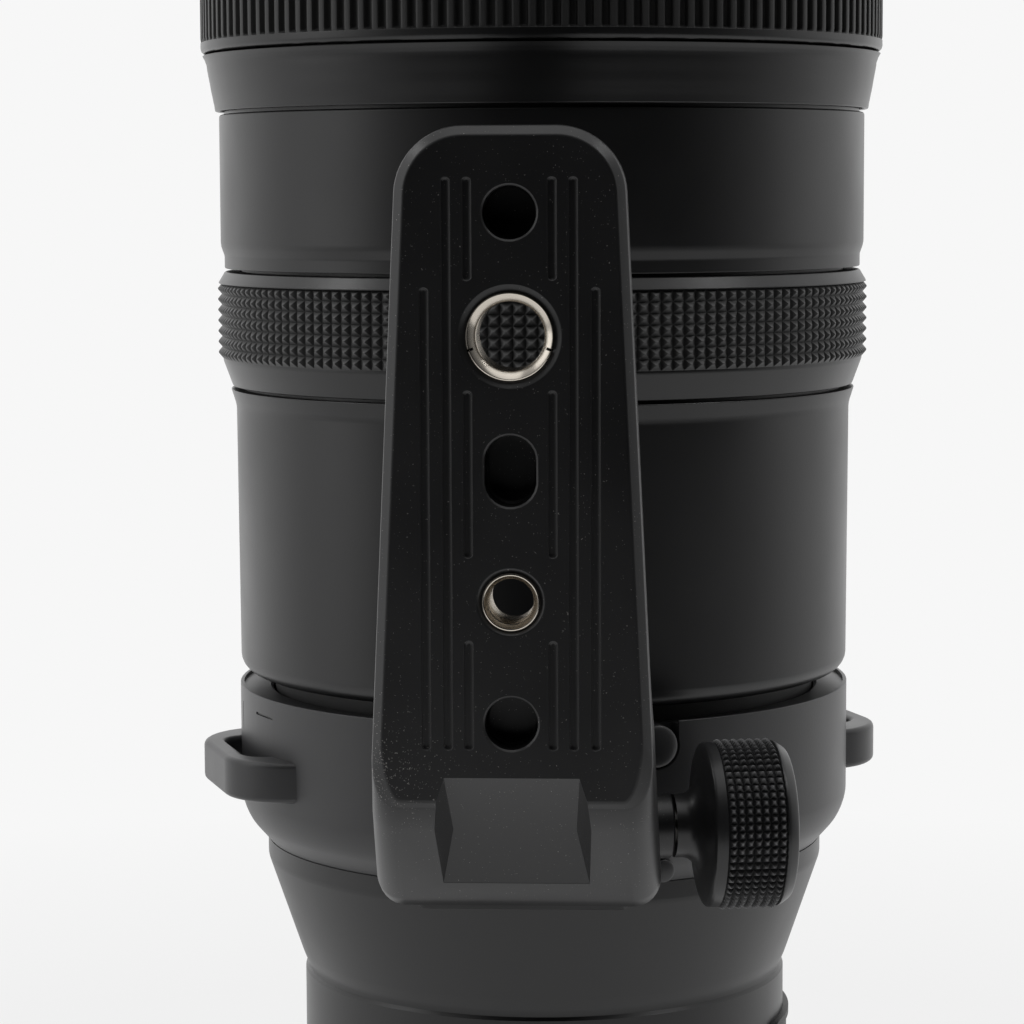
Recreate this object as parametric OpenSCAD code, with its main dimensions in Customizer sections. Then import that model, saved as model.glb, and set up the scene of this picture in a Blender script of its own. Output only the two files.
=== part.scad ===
// Telephoto zoom lens with a rotating tripod collar, a foot and a clamp knob.
// Millimetres. +Z runs along the optical axis to the front element, the foot
// points to -Y, and the origin is the centre of the seating face of the bayonet.

/* [Bayonet mount] */
// Radius of the seating face of the flange
flange_r = 32; // [30.5:0.1:33.5]
// Thickness of the flange plate
flange_t = 2.2; // [1.8:0.1:3]
// Radius of the bayonet tube below the flange
bayonet_r = 25.6; // [24.5:0.1:26]
// Radius over the bayonet claws
claw_r = 27.2; // [26.8:0.1:27.4]
// Radius of the clear throat
throat_r = 22.5; // [21:0.1:23.5]
// Length of the bayonet tube below the seating face
bayonet_h = 5.5; // [4.8:0.1:7]

/* [Rear barrel] */
// How far the rear barrel stands inside the seat of the collar
rear_in = 4.5; // [3.6:0.1:5.2]
// Height above the seating face at which the rear barrel ends
rear_top = 58; // [54:0.5:59]
// Wall of the barrel shells
wall = 2.2; // [1.6:0.1:2.6]
// How far the short cylinder under the collar stands outside the collar's seat
neck_out = 1.45; // [1:0.05:1.8]
// Height of the cone between the rear barrel and the collar
cone_h = 21.4; // [19:0.1:24]

/* [Collar] */
// Height of the collar ring
collar_h = 26.8; // [24:0.1:29]
// Wall of the collar ring
collar_t = 4.9; // [4.2:0.05:5.4]
// Radius of the seat that the collar turns on, from which all barrels take their radii
seat_r = 44.2; // [43:0.1:46]

/* [Barrels and rings] */
// How far the barrel behind the focus ring stands outside the collar
barrel_b_out = 0.05; // [0:0.05:0.4]
// Height of the barrel behind the focus ring
barrel_b_h = 46.1; // [42:0.1:50]
// Height of the focus ring
focus_h = 18.4; // [16:0.1:20]
// How far the points of the focus ring's knurling stand outside its sleeve
focus_out = 3.85; // [3.6:0.05:4.5]
// How far the barrel in front of the focus ring stands inside the knurling's points
barrel_a_in = 0.55; // [0.3:0.05:0.8]
// Height of the barrel in front of the focus ring
barrel_a_h = 24.6; // [22:0.1:28]
// Height of the taper ring
taper_h = 8.8; // [7:0.1:11]
// Height of the zoom ring
zoom_h = 69; // [60:0.2:72]
// Wall of the zoom ring over its ribs
zoom_t = 3.3; // [3.1:0.05:4]
// Height of the front barrel in front of the zoom ring
front_h = 38.8; // [34:0.1:44]
// Number of ribs round the zoom ring
rib_count = 144; // [96:4:168]
// Number of knurl points round the focus ring
knurl_count = 176; // [140:4:180]

/* [Foot] */
// Distance of the foot's face from the collar ring
foot_reach = 42.1; // [40:0.1:48]
// Height of the top end of the foot above the lower edge of the collar
foot_l = 114.3; // [110:0.1:118]
// Width of the foot near its top end
foot_top_w = 30.6; // [28:0.2:33]
// Width of the foot at the heel
foot_low_w = 39.2; // [37:0.2:42]
// Thickness of the foot's plate
foot_t = 10.5; // [9:0.1:12]
// Radius of the large tripod thread
large_thread_r = 4.76; // [4.5:0.01:5]
// Radius of the small tripod thread
small_thread_r = 3.175; // [3:0.005:3.4]

/* [Clamp knob] */
// Radius over the knurling of the clamp knob
knob_r = 12.4; // [11.4:0.1:12.8]
// Length of the knurled band of the clamp knob
knob_band = 8.2; // [7:0.1:9]
// Angle between the knob's axis and the foot's cross direction
knob_turn = 10; // [6:0.5:12]

/* [Front] */
// How far the filter thread stands inside the front barrel
filter_in = 5.9; // [5.4:0.1:7]
// Depth of the filter thread
filter_h = 5; // [4:0.1:6]

/* [Hidden] */

// Overrun of every cut
over = 1;
// Gap between shells that turn on each other
run_gap = 0.3;
// Visible seam between neighbouring rings
seam = 0.5;
// Clearance of a small sliding piece in its slot
slide_gap = 0.25;
fine = 96;

// stack of heights, from the seating face to the front end
cone_z = rear_top + seam;
collar_z = cone_z + cone_h;
collar_top = collar_z + collar_h;
collar_gap = 0.8;
barrel_b_z = collar_top + collar_gap;
barrel_b_top = barrel_b_z + barrel_b_h;
focus_z = barrel_b_top + seam;
barrel_a_z = focus_z + focus_h + seam;
barrel_a_top = barrel_a_z + barrel_a_h;
taper_z = barrel_a_top + seam;
taper_top = taper_z + taper_h;
taper_seam = 0.3;
zoom_z = taper_top + taper_seam;
front_shell_z = zoom_z + zoom_h + seam;
lens_h = front_shell_z + front_h;
foot_top = collar_z + foot_l;

// radii, each from the one that it fits on
tube_t = 1.6;
tube_in_r = seat_r - tube_t;
rear_r = seat_r - rear_in;
neck_r = seat_r + neck_out;
liner_t = 0.5;
collar_in_r = seat_r + liner_t + run_gap;
collar_r = collar_in_r + collar_t;
barrel_b_r = collar_r + barrel_b_out;
focus_sleeve_out = 4.7;
focus_sleeve_r = seat_r + focus_sleeve_out;
focus_sleeve_t = 2.2;
focus_in_r = focus_sleeve_r + run_gap;
focus_r = focus_sleeve_r + focus_out;
barrel_a_r = focus_r - barrel_a_in;
front_sleeve_in = 0.8;
front_sleeve_r = barrel_a_r - front_sleeve_in;
front_sleeve_t = 2;
zoom_in_r = front_sleeve_r + run_gap;
zoom_r = zoom_in_r + zoom_t;
front_step = 1.6;
front_step_r = zoom_r - front_step;
filter_r = front_step_r - filter_in;
foot_face = collar_r + foot_reach;

// flange and bayonet
flange_in_gap = 0.4;
flange_in_r = claw_r + flange_in_gap;
groove_h = 0.8;
claw_t = 1.4;
claw_drop = 1.8;
claw_count = 3;
claw_sweep = 48;
spigot_r = 28.2;
spigot_h = 6.2;
mount_screw_r = 1;
mount_head_r = 1.7;
mount_head_sink = 0.15;
mount_head_h = 0.75;
mount_screw_l = 5.6;
mount_screw_ring = (flange_in_r + flange_r) / 2;
mount_screw_count = 4;
lock_hole_r = 1.1;
lock_hole_h = 1.5;
lock_az = 112;
gasket_w = 1.5;
gasket_lip_share = 0.6;
gasket_gap = 0.1;
gasket_drop = 0.5;

// contacts and rear optics
contact_gap = 0.1;
contact_r = throat_r - contact_gap;
contact_w = 3.2;
contact_top = 3.4;
contact_low = 4.6;
contact_sweep = 64;
contact_sweep_gap = 2;
pin_sweep_share = 0.8;
contact_pin_r = 0.55;
contact_pin_out = 0.45;
contact_count = 11;
baffle_t = 1.2;
baffle_w = 30;
baffle_d = 22;
baffle_corner = 3;
rear_cell_r = 20.6;
rear_cell_wall = 1.6;
rear_cell_z = 6;
rear_cell_h = rear_top - rear_cell_z;
rear_cell_flange_h = 2;
baffle_z = rear_cell_z - rear_cell_flange_h;
rear_glass_z = 9;
rear_glass_t = 6.5;
board_z = 12;
board_t = 1.2;
board_in_r = 24;
board_post_r = 2;

// rear barrel
rear_low = 1.2;
rear_low_w = 1.8;
rear_low_r = flange_r + gasket_gap + rear_low_w;
rear_mid_z = 3.4;
rear_mid_out = 3.1;
rear_mid_r = rear_low_r + rear_mid_out;
rear_full_z = 11;
rear_floor_t = 4.6;
rear_mid_corner = 1.5;
rear_full_corner = 4;
index_r = 1;
index_h = 1.4;
index_rise = 4.2;
index_z = rear_full_z + index_rise;

// switch panel
panel_az = 98;
panel_w = 45;
panel_h = 32;
panel_drop = 7.4;
panel_top = rear_top - panel_drop;
panel_corner = 6;
panel_sink = 0.9;
panel_rise = 0.6;
panel_edge = 1.1;
panel_edge_rise = 0.35;
switch_slot_w = 4.2;
switch_slot_h = 9.6;
switch_pitch = 20;
switch_travel = 3;
switch_key_h = 4.4;
switch_key_rise = 1.7;
switch_rib_t = 0.5;
switch_rib_pitch = 1.1;
switch_rib_count = 3;
switch_pocket_h = 0.9;

// cone behind the collar
cone_foot_h = 1.6;
cone_low_corner = 2;
cone_step = 0.25;
cone_low_r = rear_r + cone_step;
neck_h = 3.1;
cone_top_z = collar_z - neck_h;
neck_wall = 1.6;

// main tube, collar and barrel behind the focus ring
cell_drop = 41.5;
cell_low = lens_h - cell_drop;
tube_drop = 10;
tube_top = cell_low - tube_drop;
tube_flange_h = 3;
collar_cone_h = 5;
collar_corner = 3;
collar_lip_w = 0.5;
collar_edge = 1.2;
stop_az = 23;
stop_r = 3.15;
stop_gap = 0.35;
stop_rise = 0.4;
stop_edge = 0.5;
stop_drop = 4.95;
stop_z = collar_top - stop_drop;
peg_az = 24.4;
peg_r = 1.75;
peg_rise = 2.55;
peg_z = collar_z + peg_rise;
peg_out = 0.4;
collar_mark_w = 0.4;
collar_mark_l = 6.7;
collar_mark_drop = 4.3;
collar_line_l = 4.5;
collar_line_az = 74.7;
collar_line_drop = 8.2;
collar_mark_d = 0.3;
collar_mark_az = 60;
barrel_b_taper = 0.25;
barrel_b_low_r = barrel_b_r - barrel_b_taper;
barrel_b_edge = 2.8;
barrel_b_lip = 0.6;
barrel_b_step = 2.7;
barrel_b_flare = 0.85;

// focus ring and the barrel in front of it
focus_foot_h = 4.5;
focus_foot_step = 0.4;
focus_head_h = 1.9;
focus_slope = 1.5;
knurl_rows = 7;
knurl_depth = 0.65;
knurl_gap = 0.02;
focus_head_in = 0.15;
focus_head_r = focus_r - focus_head_in;
focus_foot_in = 0.75;
focus_foot_r = focus_r - focus_foot_in;
focus_low_r = focus_foot_r - focus_slope;
focus_head_edge = 1.05;
focus_head_edge_h = 1.75;
grip_core_t = 0.8;
barrel_a_neck_h = 2;
barrel_a_neck = 0.6;
barrel_a_slope_h = 1.7;
edge_r = 0.5;

// taper ring and front barrel
taper_lip_out = 0.6;
taper_lip_r = barrel_a_r + taper_lip_out;
taper_flare_r = zoom_r - taper_seam;
front_joint_h = 9;
front_step_drop = 17.5;
front_step_z = lens_h - front_step_drop;
front_step_h = 2;
hood_claw_w = 1.2;
hood_claw_r = front_step_r + hood_claw_w;
hood_claw_t = 1.6;
hood_claw_count = 3;
hood_claw_sweep = 36;
hood_claw_az = 72;
filter_rim = 1.1;
filter_lip = 0.8;
cell_wall = 1.8;
front_glass_in = 2.3;
front_glass_r = filter_r - front_glass_in;
front_glass_edge = 4;
front_glass_bulge = 5.2;
front_glass_hollow = -0.6;
front_glass_drop = 18.5;
front_glass_z = lens_h - front_glass_drop;
inner_glass_in = 1.6;
inner_glass_r = front_glass_r - inner_glass_in;
inner_glass_drop = 34.5;
inner_glass_z = lens_h - inner_glass_drop;
inner_glass_bulge = 2.4;
inner_glass_t = 9;

// zoom ring, cam tube and zoom group
zoom_core = 2;
zoom_base_r = zoom_r - zoom_core;
zoom_edge = 0.9;
zoom_flange_h = 1.8;
rib_depth = 0.9;
rib_flat_share = 0.45;
rib_root_share = 0.72;
rib_lean_share = 0.05;
zoom_throw = 72;
zoom_travel = 38;
cam_in_r = seat_r + run_gap;
cam_t = 1.5;
cam_high_drop = 12;
cam_high = tube_top - cam_high_drop;
cam_l = 70;
cam_low = cam_high - cam_l;
key_count = 2;
key_w = 8;
key_h = 6;
key_drop = 8;
key_z = cam_high - key_drop;
key_gap_deg = 1.5;
follower_r = 2;
follower_gap = 0.35;
follower_count = 3;
zoom_cell_rise = 10;
zoom_cell_z = cam_low + zoom_cell_rise;
zoom_cell_h = 16;
zoom_cell_r = tube_in_r - run_gap;
zoom_cell_wall = 8;
zoom_glass_t = 9;
zoom_glass_hollow = -1.5;

// iris and focus group
iris_drop = 18;
iris_z = cam_low - iris_drop;
iris_h = 7;
iris_open_r = 17;
iris_sides = 9;
iris_leaf_t = 0.6;
rod_r = 1.5;
rod_ring_in = 6.6;
rod_ring_r = tube_in_r - rod_ring_in;
rod_count = 3;
rod_plate_t = 3;
rod_rise = 8.1;
rod_low = collar_z + rod_rise;
rod_l = 58;
rod_high = rod_low + rod_l;
focus_cell_rise = 16;
focus_cell_z = rod_low + focus_cell_rise;
focus_cell_h = 14;
focus_cell_in = 3;
focus_cell_r = rod_ring_r - focus_cell_in;
rod_plate_w = 13.6;
rod_plate_in_r = tube_in_r - rod_plate_w;
focus_cell_wall = 5;
focus_ear_r = 3.4;
focus_travel = 12;
focus_glass_t = 6;
focus_glass_hollow = -1;
motor_r = 5;
motor_l = 11;
motor_az = 210;

// foot
foot_heel_rise = 22.3;
foot_heel_z = collar_z + foot_heel_rise;
foot_low_rise = 5.6;
foot_low_z = collar_z + foot_low_rise;
foot_heel_in = 14;
foot_nose_in = 2.4;
foot_nose_h = 4.4;
foot_nose_corner = 1.5;
foot_rim = 1.4;
foot_corner = 9.4;
foot_low_corner = 5;
foot_nose_r = 4.4;
foot_back_in = 2;
foot_column_top_drop = 2.2;
foot_column_top = collar_top - foot_column_top_drop;
foot_column_low_rise = 0.9;
foot_column_low = collar_z + foot_column_low_rise;
foot_column_w = 31;
foot_fillet = 9;
foot_pin_r = 3.65;
foot_pin_h = 5;
foot_slot_w = 7.1;
foot_slot_l = 9.8;
foot_slot_drop = 46.6;
foot_slot_z = foot_top - foot_slot_drop;
large_drop = 28.4;
large_z = foot_top - large_drop;
small_drop = 64.5;
small_z = foot_top - small_drop;
pin_high_drop = 11.7;
pin_high_z = foot_top - pin_high_drop;
pin_low_drop = 81.2;
pin_low_z = foot_top - pin_low_drop;
large_ring_r = 6.1;
large_sink_r = 7.3;
small_ring_r = 4.05;
small_sink_r = 4.7;
insert_sink = 0.5;
insert_edge = 0.6;
groove_w = 1.4;
groove_d = 0.4;
groove_outer_x = 11.6;
groove_mid_x = 8.6;
groove_in_x = 5.75;
groove_outer_low_drop = 84.8;
groove_outer_low = foot_top - groove_outer_low_drop;
groove_outer_high_drop = 21.8;
groove_outer_high = foot_top - groove_outer_high_drop;
groove_mid_high_drop = 7;
groove_mid_high = foot_top - groove_mid_high_drop;
groove_in_a_drop = 69.8;
groove_in_a = foot_top - groove_in_a_drop;
groove_in_b_drop = 58.4;
groove_in_b = foot_top - groove_in_b_drop;
groove_in_c_drop = 35.7;
groove_in_c = foot_top - groove_in_c_drop;
groove_in_d_drop = 20.8;
groove_in_d = foot_top - groove_in_d_drop;
scoop_top_w = 18.6;
scoop_mid_w = 17.2;
scoop_low_w = 20.6;
scoop_top_rise = 3.3;
scoop_top = foot_heel_z + scoop_top_rise;
scoop_mid_drop = 5.4;
scoop_mid = foot_heel_z - scoop_mid_drop;
scoop_low_rise = 2.9;
scoop_low = foot_low_z + scoop_low_rise;
scoop_mid_in = 7.8;
scoop_low_in = 12.4;
scoop_lean = 0.45;
boss_r = 4.75;
boss_out = 12.1;
boss_y = collar_r + boss_out;
boss_x = 21.5;
boss_rise = 13.1;
boss_z = collar_z + boss_rise;
boss_in = 9;
foot_screw_r = 2;
foot_screw_head_r = 3.8;
foot_screw_head_h = 2;
foot_screw_l = 15;
foot_screw_x = 10;
foot_screw_low_rise = 6.6;
foot_screw_low = collar_z + foot_screw_low_rise;
foot_screw_high_rise = 19.1;
foot_screw_high = collar_z + foot_screw_high_rise;

// strap lugs
lug_az = 69;
lug_out = 5.7;
lug_reach = collar_r + lug_out;
lug_half = 15;
lug_corner = 9;
lug_root_in = 2.3;
lug_root = collar_r - lug_root_in;
lug_root_half = 17.6;
lug_in_out = 2.3;
lug_in_reach = collar_r + lug_in_out;
lug_in_half = 10.6;
lug_in_corner = 5;
lug_in_root_half = 9.6;
lug_rise = 10.1;
lug_z = collar_z + lug_rise;
lug_h = 6.5;

// clamp knob
knob_gap = 0.35;
knob_neck_r = 4.65;
knob_sides = 64;
knob_rows = 7;
knob_depth = 0.6;
knob_back = 6.3;
knob_end_r = 10.2;
knob_end_h = 2.4;
knob_edge_shares = [0.1, 0.35];
knob_dish = 0.5;
knob_bore_r = 2.6;
clamp_screw_r = 2.5;
clamp_screw_in = 9;
clamp_bore_gap = 0.05;
clamp_screw_out = 6;

metal = [0.72, 0.72, 0.74];
brass = [0.80, 0.68, 0.42];
satin = [0.10, 0.10, 0.10];
matt = [0.16, 0.16, 0.17];
rubber = [0.08, 0.08, 0.08];
glass = [0.45, 0.55, 0.62];
green = [0.10, 0.32, 0.20];

function unit(v) = v / norm(v);
function arc_at(c, r, a, b, n) = [for (i = [0:n]) c + r * [cos(a + (b - a) * i / n), sin(a + (b - a) * i / n)]];
function wrapped(t) = t > 180 ? t - 360 : t < -180 ? t + 360 : t;
// Points of one corner b between a and c, rounded to radius r
function corner(a, b, c, r, n) =
    let(u = unit(a - b), v = unit(c - b), half = acos(u * v) / 2)
    let(o = b + unit(u + v) * r / sin(half), p = b + u * r / tan(half) - o, q = b + v * r / tan(half) - o)
    let(from = atan2(p[1], p[0]), turn = wrapped(atan2(q[1], q[0]) - from))
    arc_at(o, r, from, from + turn, n);
function xy(p) = [p[0], p[1]];
// A closed outline whose points may carry a corner radius as their third value
function outline(path, n = 5) = [for (i = [0:len(path) - 1])
    let(k = len(path), a = path[(i + k - 1) % k], b = path[i], c = path[(i + 1) % k])
    each (len(b) > 2 ? corner(xy(a), xy(b), xy(c), b[2], n) : [b])];
function heading(az) = [sin(az), -cos(az), 0];

module turned(path, n = 5) {
    rotate_extrude($fn = fine) polygon(outline(path, n));
}
module tube(r_out, r_in, z, h) {
    turned([[r_in, z], [r_out, z], [r_out, z + h], [r_in, z + h]]);
}
// Children stand on the barrel at an azimuth counted from the foot, with +X radial
module at_azimuth(az) {
    rotate([0, 0, az - 90]) children();
}
// A disc of glass with spherical faces: sag is positive for a bulging face
module lens_disc(r, z, t, low_sag, high_sag) {
    n = 10;
    high = [for (i = [0:n]) [r * (n - i) / n, z + t / 2 + high_sag * (1 - pow((n - i) / n, 2))]];
    low = [for (i = [0:n]) [r * i / n, z - t / 2 - low_sag * (1 - pow(i / n, 2))]];
    rotate_extrude($fn = fine) polygon(concat(high, low));
}
// Ring of square points: rows of pyramids on a sleeve, as one closed mesh
function knurl_ring(r, n, z, da) = [for (i = [0:n - 1]) [r * cos(360 * (i + da) / n), r * sin(360 * (i + da) / n), z]];

// ---- rear end ----
module mount_ring() {
    color(metal) difference() {
        union() {
            turned([[throat_r, -bayonet_h], [bayonet_r, -bayonet_h], [bayonet_r, groove_h], [flange_in_r, groove_h],
                [flange_in_r, 0], [flange_r, 0], [flange_r, flange_t], [spigot_r, flange_t], [spigot_r, spigot_h],
                [rear_cell_r + rear_cell_wall, spigot_h], [rear_cell_r + rear_cell_wall, spigot_h - rear_cell_flange_h],
                [throat_r, spigot_h - rear_cell_flange_h]]);
            for (i = [0:claw_count - 1])
                rotate([0, 0, 360 / claw_count * i])
                    rotate_extrude(angle = claw_sweep, $fn = fine)
                        polygon([[bayonet_r - claw_t, -claw_drop - claw_t], [claw_r, -claw_drop - claw_t],
                            [claw_r, -claw_drop], [bayonet_r - claw_t, -claw_drop]]);
        }
        mount_screw_places() {
            cylinder(h = 2 * spigot_h, r = mount_screw_r, center = true, $fn = 32);
            translate([0, 0, mount_head_sink])
                cylinder(h = mount_head_h, r1 = mount_head_r, r2 = mount_screw_r, $fn = 32);
            translate([0, 0, mount_head_sink - over]) cylinder(h = over, r = mount_head_r, $fn = 32);
        }
        at_azimuth(lock_az) translate([mount_screw_ring, 0, -over])
            cylinder(h = lock_hole_h + over, r = lock_hole_r, $fn = 32);
    }
}
module mount_screw_places() {
    for (i = [0:mount_screw_count - 1])
        at_azimuth(360 / mount_screw_count * (i + 1 / 2)) translate([mount_screw_ring, 0, 0]) children();
}
module mount_screws() {
    color(metal) mount_screw_places() {
        difference() {
            translate([0, 0, mount_head_sink])
                cylinder(h = mount_head_h, r1 = mount_head_r, r2 = mount_screw_r, $fn = 32);
            for (a = [0, 90]) rotate([0, 0, a])
                cube([mount_head_r, mount_screw_r / 3, mount_head_h], center = true);
        }
        translate([0, 0, mount_head_sink + mount_head_h])
            cylinder(h = mount_screw_l - mount_head_sink - mount_head_h, r = mount_screw_r, $fn = 32);
    }
}
module mount_gasket() {
    color(rubber) turned([[flange_r + gasket_gap, -gasket_drop], [flange_r + gasket_gap + gasket_w * gasket_lip_share, -gasket_drop],
        [flange_r + gasket_gap + gasket_w, 0], [flange_r + gasket_gap + gasket_w, rear_low],
        [flange_r + gasket_gap, rear_low]]);
}
module contact_block() {
    color(satin) rotate([0, 0, -90 - contact_sweep / 2]) rotate_extrude(angle = contact_sweep, $fn = fine)
        polygon([[contact_r - contact_w, -contact_low], [contact_r, -contact_low], [contact_r, contact_top],
            [contact_r - contact_w, contact_top]]);
}
module contact_pins() {
    step = contact_sweep * pin_sweep_share / (contact_count - 1);
    color(brass) for (i = [0:contact_count - 1])
        at_azimuth((i - (contact_count - 1) / 2) * step) translate([contact_r - contact_w / 2, 0, -contact_low - contact_pin_out])
            cylinder(h = contact_pin_out, r = contact_pin_r, $fn = 24);
}
module baffle_outline(w, d, r) {
    square([w, d - 2 * r], center = true);
    square([w - 2 * r, d], center = true);
    for (x = [-1, 1], y = [-1, 1]) translate([x * (w / 2 - r), y * (d / 2 - r)]) circle(r, $fn = 32);
}
module rear_baffle() {
    color(satin) difference() {
        tube(throat_r, 0, baffle_z - baffle_t, baffle_t);
        translate([0, 0, baffle_z - baffle_t - over]) linear_extrude(baffle_t + 2 * over)
            baffle_outline(baffle_w, baffle_d, baffle_corner);
        rotate([0, 0, -90 - contact_sweep / 2 - contact_sweep_gap])
            rotate_extrude(angle = contact_sweep + 2 * contact_sweep_gap, $fn = fine)
                polygon([[contact_r - contact_w - slide_gap, 0], [throat_r + over, 0], [throat_r + over, 2 * baffle_z],
                    [contact_r - contact_w - slide_gap, 2 * baffle_z]]);
    }
}
module rear_cell() {
    color(satin) turned([[rear_cell_r - rear_cell_wall, rear_cell_z - rear_cell_flange_h],
        [rear_cell_r + rear_cell_wall, rear_cell_z - rear_cell_flange_h], [rear_cell_r + rear_cell_wall, rear_cell_z],
        [rear_cell_r, rear_cell_z], [rear_cell_r, rear_cell_z + rear_cell_h],
        [rear_cell_r - rear_cell_wall, rear_cell_z + rear_cell_h]]);
}
module rear_glass() {
    color(glass) lens_disc(rear_cell_r - rear_cell_wall, rear_glass_z + rear_glass_t / 2, rear_glass_t, 0, rear_glass_t / 4);
}
module circuit_board() {
    color(green) difference() {
        tube(rear_r - wall, board_in_r, board_z, board_t);
        rotate([0, 0, 60]) translate([0, 0, board_z - over]) cube([rear_r, rear_r, board_t + 2 * over]);
    }
}
module rear_barrel() {
    color(matt) difference() {
        turned([[spigot_r, rear_low], [rear_low_r, rear_low], [rear_mid_r, rear_mid_z, rear_mid_corner],
            [rear_r, rear_full_z, rear_full_corner],
            [rear_r, rear_top - edge_r], [rear_r - edge_r, rear_top], [rear_r - wall, rear_top],
            [rear_r - wall, board_z], [rear_low_r - wall, rear_low + rear_floor_t], [spigot_r, rear_low + rear_floor_t]]);
        translate([0, 0, rear_low - over]) cylinder(h = flange_t - rear_low + over, r = flange_r, $fn = fine);
        mount_screw_places() cylinder(h = mount_screw_l, r = mount_screw_r, $fn = 32);
        panel_space(panel_w, panel_h, panel_corner, rear_r - panel_sink, rear_r + over);
        for (s = [-1, 1]) switch_place(s)
            translate([rear_r - panel_sink - switch_pocket_h, -switch_slot_w / 2, -switch_slot_h / 2])
                cube([switch_pocket_h + over, switch_slot_w, switch_slot_h]);
        at_azimuth(180) translate([rear_r - index_h, 0, index_z]) rotate([0, 90, 0])
            cylinder(h = index_h + over, r = index_r, $fn = 32);
    }
}
module mount_index() {
    color("white") intersection() {
        at_azimuth(180) translate([rear_r - index_h, 0, index_z]) rotate([0, 90, 0])
            cylinder(h = index_h + over, r = index_r, $fn = 32);
        cylinder(h = 2 * index_z, r = rear_r, $fn = fine);
    }
}
// Rounded rectangle laid on the barrel between two radii
module panel_space(w, h, r, r_in, r_out) {
    intersection() {
        tube(r_out, r_in, panel_top - panel_h - over, panel_h + 2 * over);
        at_azimuth(panel_az) translate([0, 0, panel_top - panel_h / 2]) rotate([90, 0, 90])
            linear_extrude(2 * rear_r) baffle_outline(w, h, r);
    }
}
module switch_place(s) {
    at_azimuth(panel_az + s * switch_pitch / 2 / rear_r * 180 / PI) translate([0, 0, panel_top - panel_h / 2]) children();
}
module switch_panel() {
    color(satin) difference() {
        union() {
            panel_space(panel_w, panel_h, panel_corner, rear_r - panel_sink, rear_r + panel_rise);
            difference() {
                panel_space(panel_w, panel_h, panel_corner, rear_r - panel_sink, rear_r + panel_rise + panel_edge_rise);
                panel_space(panel_w - 2 * panel_edge, panel_h - 2 * panel_edge, panel_corner - panel_edge,
                    rear_r - panel_sink, rear_r + panel_rise + over);
            }
        }
        for (s = [-1, 1]) switch_place(s)
            translate([rear_r - panel_sink - over, -switch_slot_w / 2 + slide_gap, -switch_slot_h / 2 + slide_gap])
                cube([panel_sink + panel_rise + 2 * over, switch_slot_w - 2 * slide_gap, switch_slot_h - 2 * slide_gap]);
    }
}
// Thumb slider drawn at the lower end of its travel
module slider(s) {
    key_w = switch_slot_w - 4 * slide_gap;
    low = -switch_slot_h / 2 + 2 * slide_gap;
    color(satin) switch_place(s) {
        translate([rear_r - panel_sink - switch_pocket_h + slide_gap, -key_w / 2, low])
            cube([switch_pocket_h + panel_sink + panel_rise + switch_key_rise - slide_gap, key_w, switch_key_h]);
        for (i = [0:switch_rib_count - 1])
            translate([rear_r + panel_rise + switch_key_rise, -key_w / 2, low + switch_rib_t + i * switch_rib_pitch])
                cube([switch_rib_t, key_w, switch_rib_t]);
    }
}
module focus_mode_slider() {
    slider(-1);
}
module focus_limit_slider() {
    slider(1);
}
module rear_cone() {
    color(matt) turned([[rear_r - wall, cone_z - seam], [rear_r - edge_r, cone_z - seam], [rear_r - edge_r, cone_z],
        [cone_low_r, cone_z + cone_foot_h, cone_low_corner], [neck_r, cone_top_z, edge_r], [neck_r, collar_z - run_gap],
        [neck_r - neck_wall, collar_z - run_gap], [neck_r - neck_wall, cone_top_z], [rear_r - wall, cone_z + cone_foot_h]]);
}

// ---- fixed barrels ----
module main_tube() {
    slot_w = 2 * (follower_r + follower_gap);
    low = zoom_cell_z + zoom_cell_h / 2;
    color(satin) difference() {
        union() {
            turned([[tube_in_r, cone_top_z], [neck_r - neck_wall, cone_top_z], [neck_r - neck_wall, collar_z - run_gap],
                [seat_r, collar_z - run_gap], [seat_r, barrel_b_z + barrel_b_edge],
                [barrel_b_low_r - wall, barrel_b_z + barrel_b_edge],
                [barrel_b_low_r - wall, barrel_b_z + barrel_b_edge + tube_flange_h],
                [seat_r, barrel_b_z + barrel_b_edge + tube_flange_h], [seat_r, focus_z + focus_h / 2],
                [focus_sleeve_r - focus_sleeve_t, focus_z + focus_h / 2],
                [focus_sleeve_r - focus_sleeve_t, focus_z + focus_h / 2 + tube_flange_h],
                [seat_r, focus_z + focus_h / 2 + tube_flange_h], [seat_r, tube_top], [tube_in_r, tube_top]]);
            tube(cell_low_r, tube_in_r, tube_top - tube_flange_h, tube_flange_h);
        }
        for (i = [0:follower_count - 1]) rotate([0, 0, follower_az(i)]) {
            translate([0, -slot_w / 2, low])
                cube([seat_r + over, slot_w, zoom_travel]);
            for (z = [low, low + zoom_travel]) translate([0, 0, z]) rotate([0, 90, 0])
                cylinder(h = seat_r + over, r = slot_w / 2, $fn = 32);
        }
    }
}
cell_low_r = front_sleeve_r - front_sleeve_t;
function follower_az(i) = 30 + 360 / follower_count * i;
module barrel_b() {
    low_in_r = barrel_b_low_r - barrel_b_edge - barrel_b_lip;
    color(matt) turned([[low_in_r, barrel_b_z], [barrel_b_low_r, barrel_b_z, barrel_b_edge],
        [barrel_b_r, barrel_b_top - barrel_b_step], [barrel_b_r + barrel_b_flare, barrel_b_top],
        [focus_sleeve_r - focus_sleeve_t, barrel_b_top],
        [focus_sleeve_r - focus_sleeve_t, barrel_b_top - barrel_b_step],
        [barrel_b_low_r - wall, barrel_b_top - 2 * barrel_b_step], [barrel_b_low_r - wall, barrel_b_z + wall],
        [low_in_r, barrel_b_z + wall]]);
}
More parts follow.
